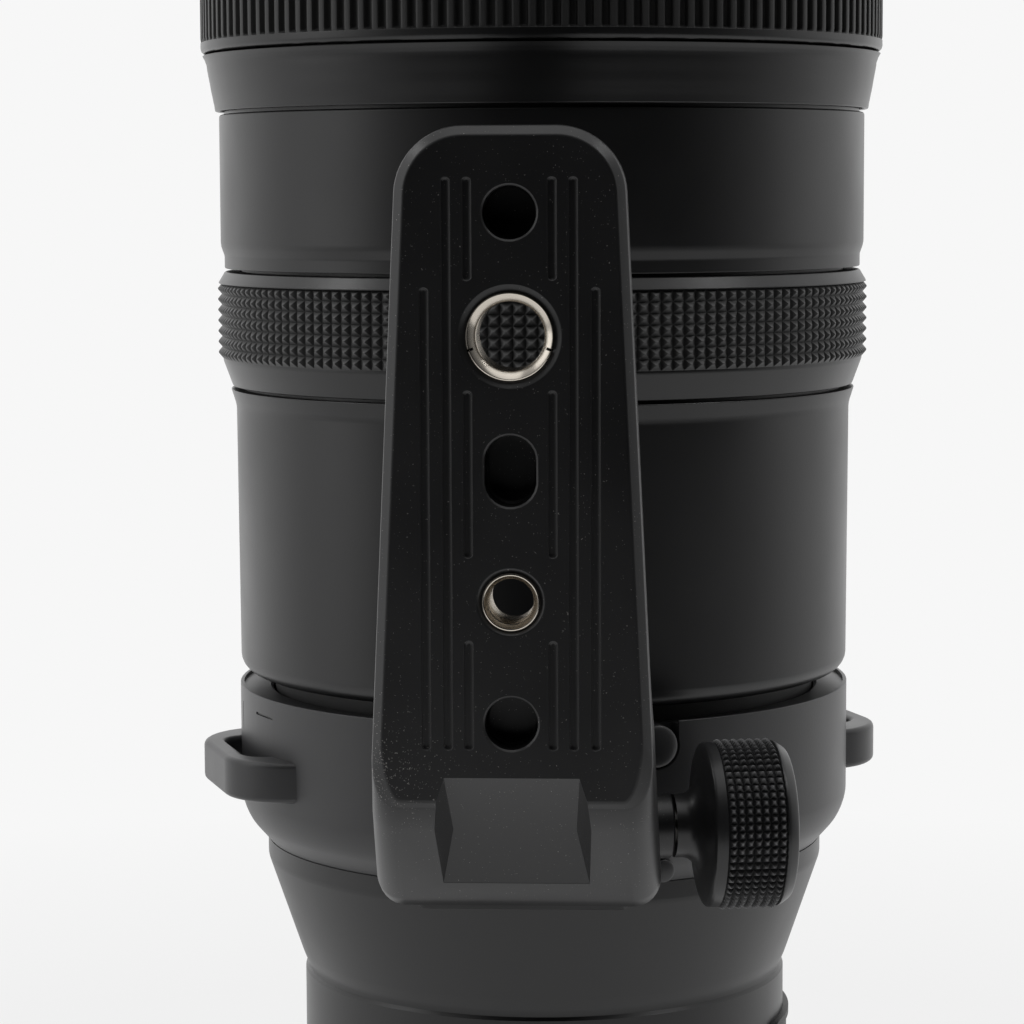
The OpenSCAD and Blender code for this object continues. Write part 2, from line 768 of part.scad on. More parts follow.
module barrel_a() {
    color(matt) turned([[focus_sleeve_r - focus_sleeve_t, barrel_b_top], [focus_sleeve_r, barrel_b_top],
        [focus_sleeve_r, barrel_a_z], [barrel_a_r - barrel_a_neck, barrel_a_z],
        [barrel_a_r - barrel_a_neck, barrel_a_z + barrel_a_neck_h],
        [barrel_a_r, barrel_a_z + barrel_a_neck_h + barrel_a_slope_h], [barrel_a_r, barrel_a_top - edge_r],
        [barrel_a_r - edge_r, barrel_a_top], [cell_low_r, barrel_a_top],
        [cell_low_r, barrel_a_z + 2 * wall], [focus_sleeve_r - focus_sleeve_t, barrel_a_z + wall]]);
}
module taper_ring() {
    h = taper_top - taper_z;
    flare = taper_flare_r - taper_lip_r;
    // Share of the height and of the flare at each point of the hollow curve
    curve_shares = [[0, 0], [0.11, 0.07], [0.26, 0.21], [0.40, 0.34], [0.55, 0.46], [0.69, 0.58],
        [0.84, 0.68], [0.875, 0.74], [0.91, 0.79], [0.945, 0.86], [0.98, 0.95], [1, 1]];
    color(matt) rotate_extrude($fn = fine) polygon(concat(
        [for (p = curve_shares) [taper_lip_r + flare * p[1], taper_z + h * p[0]]],
        [[front_sleeve_r, taper_top], [front_sleeve_r, taper_z]]));
}
module front_barrel() {
    sweep = zoom_throw + 2 * key_gap_deg;
    key_deg = key_w / front_sleeve_r * 180 / PI;
    color(matt) difference() {
        turned([[cell_low_r - front_sleeve_t, barrel_a_top - front_joint_h], [cell_low_r, barrel_a_top - front_joint_h],
            [cell_low_r, barrel_a_top], [front_sleeve_r, barrel_a_top], [front_sleeve_r, front_shell_z],
            [zoom_r - edge_r, front_shell_z], [zoom_r, front_shell_z + edge_r], [zoom_r, front_step_z - front_step_h],
            [front_step_r, front_step_z], [front_step_r, lens_h - filter_rim], [filter_r + cell_wall, lens_h - filter_rim],
            [filter_r + cell_wall, cell_low - 2 * wall], [cell_low_r, cell_low - 4 * wall],
            [cell_low_r, barrel_a_top + front_sleeve_t], [cell_low_r - front_sleeve_t, barrel_a_top]]);
        for (i = [0:key_count - 1]) rotate([0, 0, 360 / key_count * i - key_deg / 2 - key_gap_deg])
            rotate_extrude(angle = sweep + key_deg, $fn = fine)
                translate([seat_r, key_z - key_h / 2 - slide_gap])
                    square([front_sleeve_r - seat_r + over, key_h + 2 * slide_gap]);
    }
}
module hood_bayonet() {
    z = lens_h - filter_rim;
    color(satin) for (i = [0:hood_claw_count - 1]) rotate([0, 0, 360 / hood_claw_count * i + hood_claw_az])
        rotate_extrude(angle = hood_claw_sweep, $fn = fine)
            polygon([[front_step_r, z - 3 * hood_claw_t], [hood_claw_r, z - 3 * hood_claw_t],
                [hood_claw_r, z - 2 * hood_claw_t], [front_step_r, z - 2 * hood_claw_t]]);
}
module filter_ring() {
    color(satin) turned([[filter_r - filter_lip, lens_h - filter_h - 2 * filter_lip], [filter_r + cell_wall, lens_h - filter_h - 2 * filter_lip],
        [filter_r + cell_wall, lens_h - filter_rim], [front_step_r, lens_h - filter_rim], [front_step_r, lens_h - edge_r],
        [front_step_r - edge_r, lens_h], [filter_r, lens_h], [filter_r, lens_h - filter_h],
        [filter_r - filter_lip, lens_h - filter_h]]);
}
module front_cell() {
    color(satin) turned([[front_glass_r - 4 * cell_wall, cell_low], [filter_r + cell_wall, cell_low],
        [filter_r + cell_wall, lens_h - filter_h - 2 * filter_lip], [front_glass_r, lens_h - filter_h - 2 * filter_lip],
        [front_glass_r, front_glass_z - front_glass_edge / 2], [inner_glass_r, front_glass_z - front_glass_edge / 2],
        [inner_glass_r, inner_glass_z - inner_glass_t / 2], [front_glass_r - 4 * cell_wall, inner_glass_z - inner_glass_t / 2]]);
}
module front_glass() {
    color(glass) lens_disc(front_glass_r, front_glass_z, front_glass_edge, front_glass_hollow, front_glass_bulge);
}
module inner_glass() {
    color(glass) lens_disc(inner_glass_r, inner_glass_z, inner_glass_t, 0, inner_glass_bulge);
}

// ---- inner mechanism ----
module iris_unit() {
    color(satin) difference() {
        tube(tube_in_r, 0, iris_z, iris_h);
        translate([0, 0, iris_z + iris_leaf_t]) cylinder(h = iris_h, r = tube_in_r - 3 * wall, $fn = fine);
        translate([0, 0, iris_z - over]) cylinder(h = iris_h, r = iris_open_r, $fn = iris_sides);
    }
}
module rod_places() {
    for (i = [0:rod_count - 1]) rotate([0, 0, 30 + 360 / rod_count * i]) translate([rod_ring_r, 0, 0]) children();
}
module rod_plate(z) {
    difference() {
        tube(tube_in_r, rod_plate_in_r, z, rod_plate_t);
        rod_places() translate([0, 0, z - over]) cylinder(h = rod_plate_t + 2 * over, r = rod_r, $fn = 32);
    }
}
module rod_plate_rear() {
    color(satin) rod_plate(rod_low);
}
module rod_plate_front() {
    color(satin) rod_plate(rod_high - rod_plate_t);
}
module guide_rods() {
    color(metal) rod_places() translate([0, 0, rod_low]) cylinder(h = rod_high - rod_low, r = rod_r, $fn = 32);
}
module focus_motor() {
    color(metal) at_azimuth(motor_az) translate([rod_ring_r, 0, rod_high - rod_plate_t - motor_l])
        cylinder(h = motor_l, r = motor_r, $fn = 48);
}
module focus_cell() {
    color(satin) difference() {
        union() {
            tube(focus_cell_r, focus_cell_r - focus_cell_wall, focus_cell_z, focus_cell_h);
            rod_places() translate([0, 0, focus_cell_z]) cylinder(h = focus_cell_h, r = focus_ear_r, $fn = 48);
        }
        rod_places() translate([0, 0, focus_cell_z - over])
            cylinder(h = focus_cell_h + 2 * over, r = rod_r + clamp_bore_gap, $fn = 32);
        translate([0, 0, focus_cell_z - over])
            cylinder(h = focus_cell_h + 2 * over, r = focus_cell_r - focus_cell_wall, $fn = fine);
    }
}
module focus_glass() {
    color(glass) lens_disc(focus_cell_r - focus_cell_wall, focus_cell_z + focus_cell_h / 2, focus_glass_t,
        focus_glass_hollow, focus_glass_hollow);
}
module zoom_cell() {
    color(satin) difference() {
        tube(zoom_cell_r, zoom_cell_r - zoom_cell_wall, zoom_cell_z, zoom_cell_h);
        for (i = [0:follower_count - 1]) rotate([0, 0, follower_az(i)])
            translate([zoom_cell_r - zoom_cell_wall / 2, 0, zoom_cell_z + zoom_cell_h / 2]) rotate([0, 90, 0])
                cylinder(h = zoom_cell_wall, r = follower_r, $fn = 32);
    }
}
module zoom_glass() {
    color(glass) lens_disc(zoom_cell_r - zoom_cell_wall, zoom_cell_z + zoom_cell_h / 2, zoom_glass_t,
        zoom_glass_hollow, zoom_glass_hollow);
}
module cam_followers() {
    color(brass) for (i = [0:follower_count - 1]) rotate([0, 0, follower_az(i)])
        translate([zoom_cell_r - zoom_cell_wall / 2, 0, zoom_cell_z + zoom_cell_h / 2]) rotate([0, 90, 0])
            cylinder(h = cam_in_r + cam_t - zoom_cell_r + zoom_cell_wall / 2, r = follower_r, $fn = 32);
}
// Helical slot that lifts the followers by the zoom travel over the zoom throw, milled in steps
module cam_slot() {
    run = zoom_throw / 180 * PI * cam_in_r;
    n = ceil(sqrt(run * run + zoom_travel * zoom_travel) / follower_r);
    for (i = [0:n])
        rotate([0, 0, -zoom_throw * i / n])
            translate([cam_in_r - over, 0, zoom_cell_z + zoom_cell_h / 2 + zoom_travel * i / n]) rotate([0, 90, 0])
                cylinder(h = cam_t + 2 * over, r = follower_r + 2 * follower_gap, $fn = 32);
}
module cam_tube() {
    color(metal) difference() {
        tube(cam_in_r + cam_t, cam_in_r, cam_low, cam_high - cam_low);
        for (i = [0:follower_count - 1]) rotate([0, 0, follower_az(i)]) cam_slot();
    }
}

// ---- rings ----
module focus_ring() {
    z = focus_z;
    top = focus_z + focus_h;
    core = focus_r - knurl_depth - grip_core_t;
    color(satin) turned([[focus_in_r, z], [focus_low_r, z], [focus_foot_r, z + focus_foot_h - focus_foot_step],
        [focus_foot_r, z + focus_foot_h], [core, z + focus_foot_h],
        [core, top - focus_head_h], [focus_head_r, top - focus_head_h], [focus_head_r, top - focus_head_edge_h],
        [focus_head_r - focus_head_edge, top], [focus_in_r, top]]);
}
module focus_grip() {
    n = knurl_count;
    rows = knurl_rows;
    low = focus_z + focus_foot_h;
    h = focus_h - focus_foot_h - focus_head_h;
    r = focus_r - knurl_depth;
    core = (r - grip_core_t + knurl_gap) / cos(180 / n);
    valleys = [for (j = [0:rows]) each knurl_ring(r, n, low + h * j / rows, 0)];
    tips = [for (j = [0:rows - 1]) each knurl_ring(focus_r, n, low + h * (j + 1 / 2) / rows, 1 / 2)];
    inner = concat(knurl_ring(core, n, low, 0), knurl_ring(core, n, low + h, 0));
    t0 = len(valleys);
    i0 = t0 + len(tips);
    faces = concat(
        [for (j = [0:rows - 1], i = [0:n - 1])
            let(a = j * n + i, b = j * n + (i + 1) % n, c = b + n, d = a + n, t = t0 + j * n + i)
            each [[b, a, t], [c, b, t], [d, c, t], [a, d, t]]],
        [for (i = [0:n - 1]) let(k = (i + 1) % n, v = rows * n)
            each [[i0 + i, i, k], [i0 + i, k, i0 + k], [v + i, i0 + n + i, i0 + n + k], [v + i, i0 + n + k, v + k],
                [i0 + i, i0 + k, i0 + n + k], [i0 + i, i0 + n + k, i0 + n + i]]]);
    color(rubber) polyhedron(concat(valleys, tips, inner), faces);
}
module zoom_ring() {
    z = zoom_z;
    top = zoom_z + zoom_h;
    key_deg = key_w / front_sleeve_r * 180 / PI;
    color(satin) {
        turned([[zoom_in_r, z], [zoom_r, z, zoom_edge], [zoom_r, z + zoom_flange_h],
            [zoom_base_r, z + zoom_flange_h], [zoom_base_r, top - zoom_flange_h], [zoom_r, top - zoom_flange_h],
            [zoom_r, top, zoom_edge], [zoom_in_r, top]]);
        for (i = [0:key_count - 1]) rotate([0, 0, 360 / key_count * i - key_deg / 2])
            rotate_extrude(angle = key_deg, $fn = fine) translate([cam_in_r + cam_t, key_z - key_h / 2])
                square([zoom_in_r + edge_r - cam_in_r - cam_t, key_h]);
    }
}
module zoom_grip() {
    n = rib_count;
    root = zoom_r - rib_depth;
    // Place of each point of one rib across its pitch, with the rib's height
    rib_shares = [[0, 0], [1 - rib_root_share, 0], [(1 - rib_flat_share) / 2 + rib_lean_share, 1],
        [(1 + rib_flat_share) / 2 + rib_lean_share, 1]];
    points = [for (i = [0:n - 1], p = rib_shares) let(a = 360 * (i + p[0]) / n, r = root + rib_depth * p[1])
        [r * cos(a), r * sin(a)]];
    color(rubber) translate([0, 0, zoom_z + zoom_flange_h]) linear_extrude(zoom_h - 2 * zoom_flange_h) difference() {
        polygon(points);
        circle(zoom_base_r, $fn = 6 * fine);
    }
}

// ---- collar ----
module collar_ring() {
    floor_r = collar_in_r + wall;
    color(matt) {
        difference() {
            turned([[collar_in_r, collar_z], [collar_in_r + collar_lip_w, collar_z],
                [collar_r, collar_z + collar_cone_h, collar_corner], [collar_r, collar_top, collar_edge],
                [collar_in_r, collar_top]]);
            at_azimuth(stop_az) {
                translate([floor_r, 0, stop_z]) rotate([0, 90, 0])
                    cylinder(h = collar_r, r = stop_r + stop_gap, $fn = 64);
                translate([floor_r, -stop_r - stop_gap, stop_z])
                    cube([collar_r, 2 * (stop_r + stop_gap), collar_h]);
            }
            foot_screw_places() {
                cylinder(h = collar_r, r = foot_screw_r, $fn = 32);
                cylinder(h = collar_in_r + foot_screw_head_h, r = foot_screw_head_r, $fn = 32);
            }
            at_azimuth(-collar_mark_az)
                translate([collar_r - collar_mark_d, -collar_mark_l / 2, collar_top - collar_mark_drop])
                    cube([over, collar_mark_l, collar_mark_w]);
            at_azimuth(-collar_line_az)
                translate([collar_r - collar_mark_d, -collar_mark_w / 2, collar_top - collar_line_drop])
                    cube([over, collar_mark_w, collar_line_l]);
        }
        at_azimuth(stop_az) translate([floor_r - edge_r, 0, stop_z]) rotate([0, 90, 0])
            collar_peg(stop_r, collar_r + stop_rise - floor_r + edge_r);
        at_azimuth(peg_az) translate([floor_r - wall / 2, 0, peg_z]) rotate([0, 90, 0])
            collar_peg(peg_r, collar_r - peg_out - floor_r + wall / 2);
    }
}
// Short round peg along +Z with a rounded outer edge
module collar_peg(r, l) {
    rotate_extrude($fn = 64) polygon(outline([[0, 0], [r, 0], [r, l, stop_edge], [0, l]]));
}
module collar_liner() {
    color(rubber) difference() {
        tube(collar_in_r, collar_in_r - liner_t, collar_z + wall, collar_h - 2 * wall);
        foot_screw_places() cylinder(h = collar_r, r = foot_screw_head_r, $fn = 32);
    }
}
// Screws run outward from inside the ring, along -Y
module foot_screw_places() {
    for (x = [-1, 1], z = [foot_screw_low, foot_screw_high])
        translate([x * foot_screw_x, 0, z]) rotate([90, 0, 0]) children();
}
module foot_screws() {
    color(metal) foot_screw_places() {
        translate([0, 0, collar_in_r]) cylinder(h = foot_screw_head_h, r = foot_screw_head_r, $fn = 32);
        translate([0, 0, collar_in_r + foot_screw_head_h])
            cylinder(h = foot_screw_l, r = foot_screw_r, $fn = 32);
    }
}
function foot_half(z) = (foot_low_w + (foot_top_w - foot_low_w) * (z - foot_heel_z) / (foot_top - foot_heel_z)) / 2;
// Front outline of the foot, drawn in by a margin
module foot_outline(in) {
    low = foot_low_z - over;
    hull() {
        for (s = [-1, 1]) {
            translate([s * (foot_half(foot_top) - foot_corner), foot_top - foot_corner]) circle(foot_corner - in, $fn = 32);
            translate([s * (foot_half(foot_low_z) - foot_low_corner), low + foot_low_corner]) circle(foot_low_corner - in, $fn = 32);
        }
    }
}
// Upright solid from an outline in X and Z, between two distances from the axis
module foot_slab(near, far) {
    translate([0, -near, 0]) rotate([90, 0, 0]) linear_extrude(far - near) children();
}
module foot_blank() {
    skin = 0.01;
    hull() {
        foot_slab(foot_face - skin, foot_face) foot_outline(foot_rim);
        foot_slab(foot_face - foot_rim, foot_face - foot_rim + skin) foot_outline(0);
    }
    foot_slab(seat_r, foot_face - foot_rim) foot_outline(0);
}
// Side view of the plate, the heel and the column, as distance from the axis and height
module foot_side() {
    back = foot_face - foot_t;
    polygon(outline([[foot_face, foot_top, foot_nose_r], [foot_face, foot_heel_z],
        [foot_face - foot_nose_in, foot_heel_z - foot_nose_h, foot_nose_corner],
        [foot_face - foot_heel_in, foot_low_z, foot_low_corner / 2], [foot_face - 2 * foot_heel_in, foot_column_low],
        [seat_r, foot_column_low], [seat_r, foot_column_top], [collar_r + foot_fillet, foot_column_top],
        [back - foot_back_in, foot_column_top + foot_fillet, foot_fillet], [back, foot_top, foot_nose_r]], 6));
}
module foot_column() {
    depth = foot_face - foot_t - seat_r;
    intersection() {
        rotate([90, 0, -90]) translate([0, 0, -foot_low_w]) linear_extrude(2 * foot_low_w) foot_side();
        foot_slab(seat_r, foot_face - foot_t) translate([-foot_column_w / 2, 0]) square([foot_column_w, foot_top]);
    }
}
module foot_groove(x, low, high) {
    translate([x, -foot_face + groove_d, 0]) rotate([90, 0, 0]) {
        translate([-groove_w / 2, low + groove_w / 2]) linear_extrude(over) square([groove_w, high - low - groove_w]);
        for (z = [low + groove_w / 2, high - groove_w / 2]) translate([0, z, 0]) cylinder(h = over, r = groove_w / 2, $fn = 24);
    }
}
module foot_hole(z, r, depth) {
    translate([0, -foot_face + depth, z]) rotate([90, 0, 0]) cylinder(h = depth + over, r = r, $fn = 64);
}
// Thumb scoop ground across the heel: two flats that meet in a crease, with leaning ends
module foot_scoop() {
    mid = foot_face - scoop_mid_in;
    low = foot_face - scoop_low_in;
    far = foot_face + over;
    mid_far = scoop_mid_w / 2 + (far - mid) * scoop_lean;
    points = [for (s = [-1, 1])
        each [[s * scoop_top_w / 2, -foot_face, scoop_top], [s * scoop_mid_w / 2, -mid, scoop_mid],
            [s * scoop_low_w / 2, -low, scoop_low], [s * scoop_top_w / 2, -far, scoop_top + over],
            [s * mid_far, -far, scoop_mid + over], [s * scoop_low_w / 2, -far, scoop_low]]];
    hull() polyhedron(points, [[0, 1, 2, 5, 4, 3], [6, 9, 10, 11, 8, 7], [0, 3, 9, 6], [0, 6, 7, 1], [1, 7, 8, 2],
        [2, 8, 11, 5], [3, 4, 10, 9], [4, 5, 11, 10]]);
}
module foot() {
    color(satin) difference() {
        union() {
            intersection() {
                foot_blank();
                rotate([90, 0, -90]) translate([0, 0, -foot_low_w]) linear_extrude(2 * foot_low_w) foot_side();
                translate([-foot_low_w, -foot_face, 0]) cube([2 * foot_low_w, foot_t + foot_fillet, foot_top + over]);
            }
            foot_column();
            at_knob() translate([0, 0, -boss_in]) cylinder(h = boss_in, r = boss_r, $fn = 64);
        }
        cylinder(h = 2 * foot_top, r = collar_r, $fn = fine);
        foot_hole(pin_high_z, foot_pin_r, foot_pin_h);
        foot_hole(pin_low_z, foot_pin_r, foot_pin_h);
        foot_hole(large_z, large_ring_r, foot_t + over);
        foot_hole(large_z, large_sink_r, insert_sink);
        foot_hole(small_z, small_ring_r, foot_t + over);
        foot_hole(small_z, small_sink_r, insert_sink);
        translate([0, -foot_face + foot_pin_h, 0]) rotate([90, 0, 0]) {
            for (s = [-1, 1]) translate([0, foot_slot_z + s * (foot_slot_l - foot_slot_w) / 2, 0])
                cylinder(h = foot_pin_h + over, r = foot_slot_w / 2, $fn = 64);
            translate([-foot_slot_w / 2, foot_slot_z - (foot_slot_l - foot_slot_w) / 2, 0])
                cube([foot_slot_w, foot_slot_l - foot_slot_w, foot_pin_h + over]);
        }
        for (s = [-1, 1]) {
            foot_groove(s * groove_outer_x, groove_outer_low, groove_outer_high);
            foot_groove(s * groove_mid_x, groove_outer_low, groove_mid_high);
            foot_groove(s * groove_in_x, groove_outer_low, groove_in_a);
            foot_groove(s * groove_in_x, groove_in_b, groove_in_c);
            foot_groove(s * groove_in_x, groove_in_d, groove_mid_high);
        }
        foot_scoop();
        foot_screw_places() cylinder(h = collar_in_r + foot_screw_head_h + foot_screw_l, r = foot_screw_r, $fn = 32);
        at_knob() translate([0, 0, -clamp_screw_in - over])
            cylinder(h = clamp_screw_in + 2 * over, r = clamp_screw_r + clamp_bore_gap, $fn = 48);
    }
}
// Threaded bush in the foot: outer radius, bore radius, length
module insert_at(z, r, bore, l) {
    translate([0, -foot_face, z]) rotate([-90, 0, 0]) rotate_extrude($fn = fine)
        polygon([[bore, insert_edge], [bore + insert_edge, 0], [r - insert_edge / 2, 0], [r, insert_edge / 2], [r, l], [bore, l]]);
}
module large_insert() {
    color(metal) insert_at(large_z, large_ring_r, large_thread_r, foot_t);
}
module small_insert() {
    color(metal) insert_at(small_z, small_ring_r, small_thread_r, foot_t);
}
module strap_lug(side) {
    color(matt) translate([0, 0, lug_z]) linear_extrude(lug_h) at_azimuth(side * lug_az) difference() {
        polygon(outline([[0, -lug_root_half], [lug_root, -lug_root_half], [lug_reach, -lug_half, lug_corner],
            [lug_reach, lug_half, lug_corner], [lug_root, lug_root_half], [0, lug_root_half]], 8));
        polygon(outline([[0, -lug_in_root_half], [lug_root, -lug_in_root_half],
            [lug_in_reach, -lug_in_half, lug_in_corner], [lug_in_reach, lug_in_half, lug_in_corner],
            [lug_root, lug_in_root_half], [0, lug_in_root_half]], 8));
        circle(collar_r, $fn = fine);
    }
}
module strap_lug_left() {
    strap_lug(-1);
}
module strap_lug_right() {
    rotate([0, 0, 180]) strap_lug(-1);
}
// Children start at the boss face, with +Z along the knob's axis
module at_knob() {
    translate([boss_x, -boss_y, boss_z]) rotate([0, 0, knob_turn]) rotate([0, 90, 0]) children();
}
module clamp_knob() {
    n = knob_sides;
    rows = knob_rows;
    valley = knob_r - knob_depth;
    back = knob_back;
    front = knob_back + knob_band;
    flare = knob_back - knob_gap;
    rim = knob_r - knob_end_r;
    // Share of the run from the neck to the knurling, and share of the rise, of the trumpet-shaped back
    flare_shares = [[0, 0], [0.22, 0], [0.38, 0.06], [0.50, 0.17], [0.59, 0.34], [0.63, 0.55], [0.66, 0.78],
        [0.69, 0.92], [0.74, 1], [1, 1]];
    rear_path = concat([[knob_bore_r, knob_gap]],
        [for (p = flare_shares) [knob_neck_r + (valley - knob_neck_r) * p[1], knob_gap + flare * p[0]]]);
    end_path = [[valley, front + rim * knob_edge_shares[0]],
        [knob_r - rim * knob_edge_shares[1], front + rim * knob_edge_shares[1]], [knob_end_r, front + knob_end_h],
        [knob_end_r - knob_dish, front + knob_end_h], [knob_end_r - 2 * knob_dish, front + knob_end_h - knob_dish], [knob_bore_r, front + knob_end_h - knob_dish]];
    rings_low = rear_path;
    low_points = [for (p = rings_low) each knurl_ring(p[0], n, p[1], 0)];
    mid_points = [for (j = [1:rows]) each knurl_ring(valley, n, back + knob_band * j / rows, 0)];
    high_points = [for (p = end_path) each knurl_ring(p[0], n, p[1], 0)];
    bore_points = knurl_ring(knob_bore_r, n, knob_gap + clamp_screw_out, 0);
    tips = [for (j = [0:rows - 1]) each knurl_ring(knob_r, n, back + knob_band * (j + 1 / 2) / rows, 1 / 2)];
    rings = len(rings_low) + rows + len(end_path);
    first = len(rings_low) - 1;
    b0 = rings * n;
    t0 = b0 + n + 1;
    plain = [for (j = [0:rings - 2]) if (j < first || j >= first + rows) j];
    quads = [for (j = plain, i = [0:n - 1]) let(a = j * n + i, b = j * n + (i + 1) % n) each [[b, a, a + n], [b, a + n, b + n]]];
    knurls = [for (j = [0:rows - 1], i = [0:n - 1])
        let(a = (first + j) * n + i, b = (first + j) * n + (i + 1) % n, t = t0 + j * n + i)
        each [[b, a, t], [b + n, b, t], [a + n, b + n, t], [a, a + n, t]]];
    last = (rings - 1) * n;
    cap = [[for (i = [0:n - 1]) last + n - 1 - i]];
    bore = [for (i = [0:n - 1]) let(k = (i + 1) % n) each [[i, k, b0 + k], [i, b0 + k, b0 + i]]];
    blind = [for (i = [0:n - 1]) [b0 + i, b0 + (i + 1) % n, b0 + n]];
    color(satin) at_knob() polyhedron(
        concat(low_points, mid_points, high_points, bore_points, [[0, 0, knob_gap + clamp_screw_out]], tips),
        concat(quads, knurls, cap, bore, blind));
}
module clamp_screw() {
    color(metal) at_knob() translate([0, 0, -clamp_screw_in])
        cylinder(h = clamp_screw_in + knob_gap + clamp_screw_out - slide_gap, r = clamp_screw_r, $fn = 48);
}

mount_ring();
mount_screws();
mount_gasket();
contact_block();
contact_pins();
rear_baffle();
rear_cell();
rear_glass();
circuit_board();
rear_barrel();
mount_index();
switch_panel();
rear_cone();
main_tube();
barrel_b();
barrel_a();
taper_ring();
front_barrel();
hood_bayonet();
filter_ring();
front_glass();
front_cell();
inner_glass();
iris_unit();
rod_plate_rear();
rod_plate_front();
guide_rods();
focus_motor();
focus_mode_slider();
focus_limit_slider();
focus_ring();
focus_grip();
zoom_ring();
zoom_grip();
cam_tube();
zoom_cell();
zoom_glass();
cam_followers();
focus_cell();
focus_glass();
collar_ring();
collar_liner();
foot();
foot_screws();
large_insert();
small_insert();
strap_lug_left();
strap_lug_right();
clamp_knob();
clamp_screw();
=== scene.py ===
import bpy, bmesh
from math import pi, sin, cos, atan2, radians, copysign
from mathutils import Matrix, Vector


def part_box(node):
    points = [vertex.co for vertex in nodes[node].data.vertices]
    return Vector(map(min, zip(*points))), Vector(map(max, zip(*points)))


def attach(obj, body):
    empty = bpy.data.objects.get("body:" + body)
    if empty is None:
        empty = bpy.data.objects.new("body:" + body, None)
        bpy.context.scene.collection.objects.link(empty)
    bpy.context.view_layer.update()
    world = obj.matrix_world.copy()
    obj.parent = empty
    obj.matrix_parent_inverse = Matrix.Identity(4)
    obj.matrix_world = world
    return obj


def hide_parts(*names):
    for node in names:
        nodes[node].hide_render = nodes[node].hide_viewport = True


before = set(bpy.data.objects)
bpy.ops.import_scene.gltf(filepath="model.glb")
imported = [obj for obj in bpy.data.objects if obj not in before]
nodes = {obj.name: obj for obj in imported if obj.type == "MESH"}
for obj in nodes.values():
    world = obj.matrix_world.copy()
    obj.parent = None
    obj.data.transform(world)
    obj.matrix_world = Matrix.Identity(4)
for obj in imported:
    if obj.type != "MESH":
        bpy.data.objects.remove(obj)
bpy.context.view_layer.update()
scene = bpy.context.scene
mm = 0.001
weld = 1e-7  # metres within which points count as one
touch = 2e-6  # metres within which a point counts as lying on a circle
print("frame loaded:", len(nodes), "nodes")


# finishes: painted, moulded or plated, with fine grain in the bump and slow mottling in colour and gloss

finishes = {
    "barrelPaint": {"colour": (0.0085, 0.0085, 0.009), "roughness": 0.36, "grain": 2600, "bump": 0.10},
    "collarPaint": {"colour": (0.033, 0.033, 0.0345), "roughness": 0.39, "grain": 2600, "bump": 0.12},
    "knobPaint": {"colour": (0.018, 0.018, 0.019), "roughness": 0.34, "grain": 2200, "bump": 0.06},
    "gripRubber": {"colour": (0.011, 0.011, 0.011), "roughness": 0.5, "grain": 3200, "bump": 0.14},
    "toothRubber": {"colour": (0.016, 0.016, 0.016), "roughness": 0.44, "grain": 3200, "bump": 0.10},
    "ringPaint": {"colour": (0.009, 0.009, 0.0095), "roughness": 0.34, "grain": 2600, "bump": 0.08},
    "nickel": {"colour": (0.62, 0.57, 0.50), "roughness": 0.22, "metallic": 1.0, "grain": 700, "bump": 0.03,
               "mottle": 0.08},
    "steel": {"colour": (0.55, 0.54, 0.52), "roughness": 0.3, "metallic": 1.0, "grain": 900, "bump": 0.03},
    "mountMetal": {"colour": (0.70, 0.69, 0.67), "roughness": 0.26, "metallic": 1.0, "grain": 900,
                   "bump": 0.02, "mottle": 0.05},
    "gold": {"colour": (0.80, 0.58, 0.26), "roughness": 0.2, "metallic": 1.0, "mottle": 0.05},
    "darkPlastic": {"colour": (0.010, 0.010, 0.010), "roughness": 0.5, "grain": 2400, "bump": 0.1},
    "sealRubber": {"colour": (0.012, 0.012, 0.012), "roughness": 0.7, "bump": 0.12},
    "boardGreen": {"colour": (0.02, 0.11, 0.05), "roughness": 0.4},
    "whiteInk": {"colour": (0.75, 0.75, 0.74), "roughness": 0.5, "mottle": 0.03}}

slowScale = 38
reliefDepth = 0.00008

def newMaterial(name):
    material = bpy.data.materials.new(name)
    material.use_nodes = True
    tree = material.node_tree
    return material, tree.nodes, tree.links, tree.nodes["Principled BSDF"]

def noiseTexture(node, link, place, scale, detail):
    texture = node.new("ShaderNodeTexNoise")
    texture.inputs["Scale"].default_value = scale
    texture.inputs["Detail"].default_value = detail
    link.new(place.outputs["Object"], texture.inputs["Vector"])
    return texture

def spread(node, link, source, low, high, toLow, toHigh):
    change = node.new("ShaderNodeMapRange")
    for socket, value in (("From Min", low), ("From Max", high), ("To Min", toLow), ("To Max", toHigh)):
        change.inputs[socket].default_value = value
    link.new(source, change.inputs["Value"])
    return change.outputs["Result"]

def twoTones(node, link, factor, dark, light, low=0.35, high=0.7):
    ramp = node.new("ShaderNodeValToRGB")
    ramp.color_ramp.elements[0].position = low
    ramp.color_ramp.elements[1].position = high
    ramp.color_ramp.elements[0].color = (*dark, 1)
    ramp.color_ramp.elements[1].color = (*light, 1)
    link.new(factor, ramp.inputs["Fac"])
    return ramp.outputs["Color"]

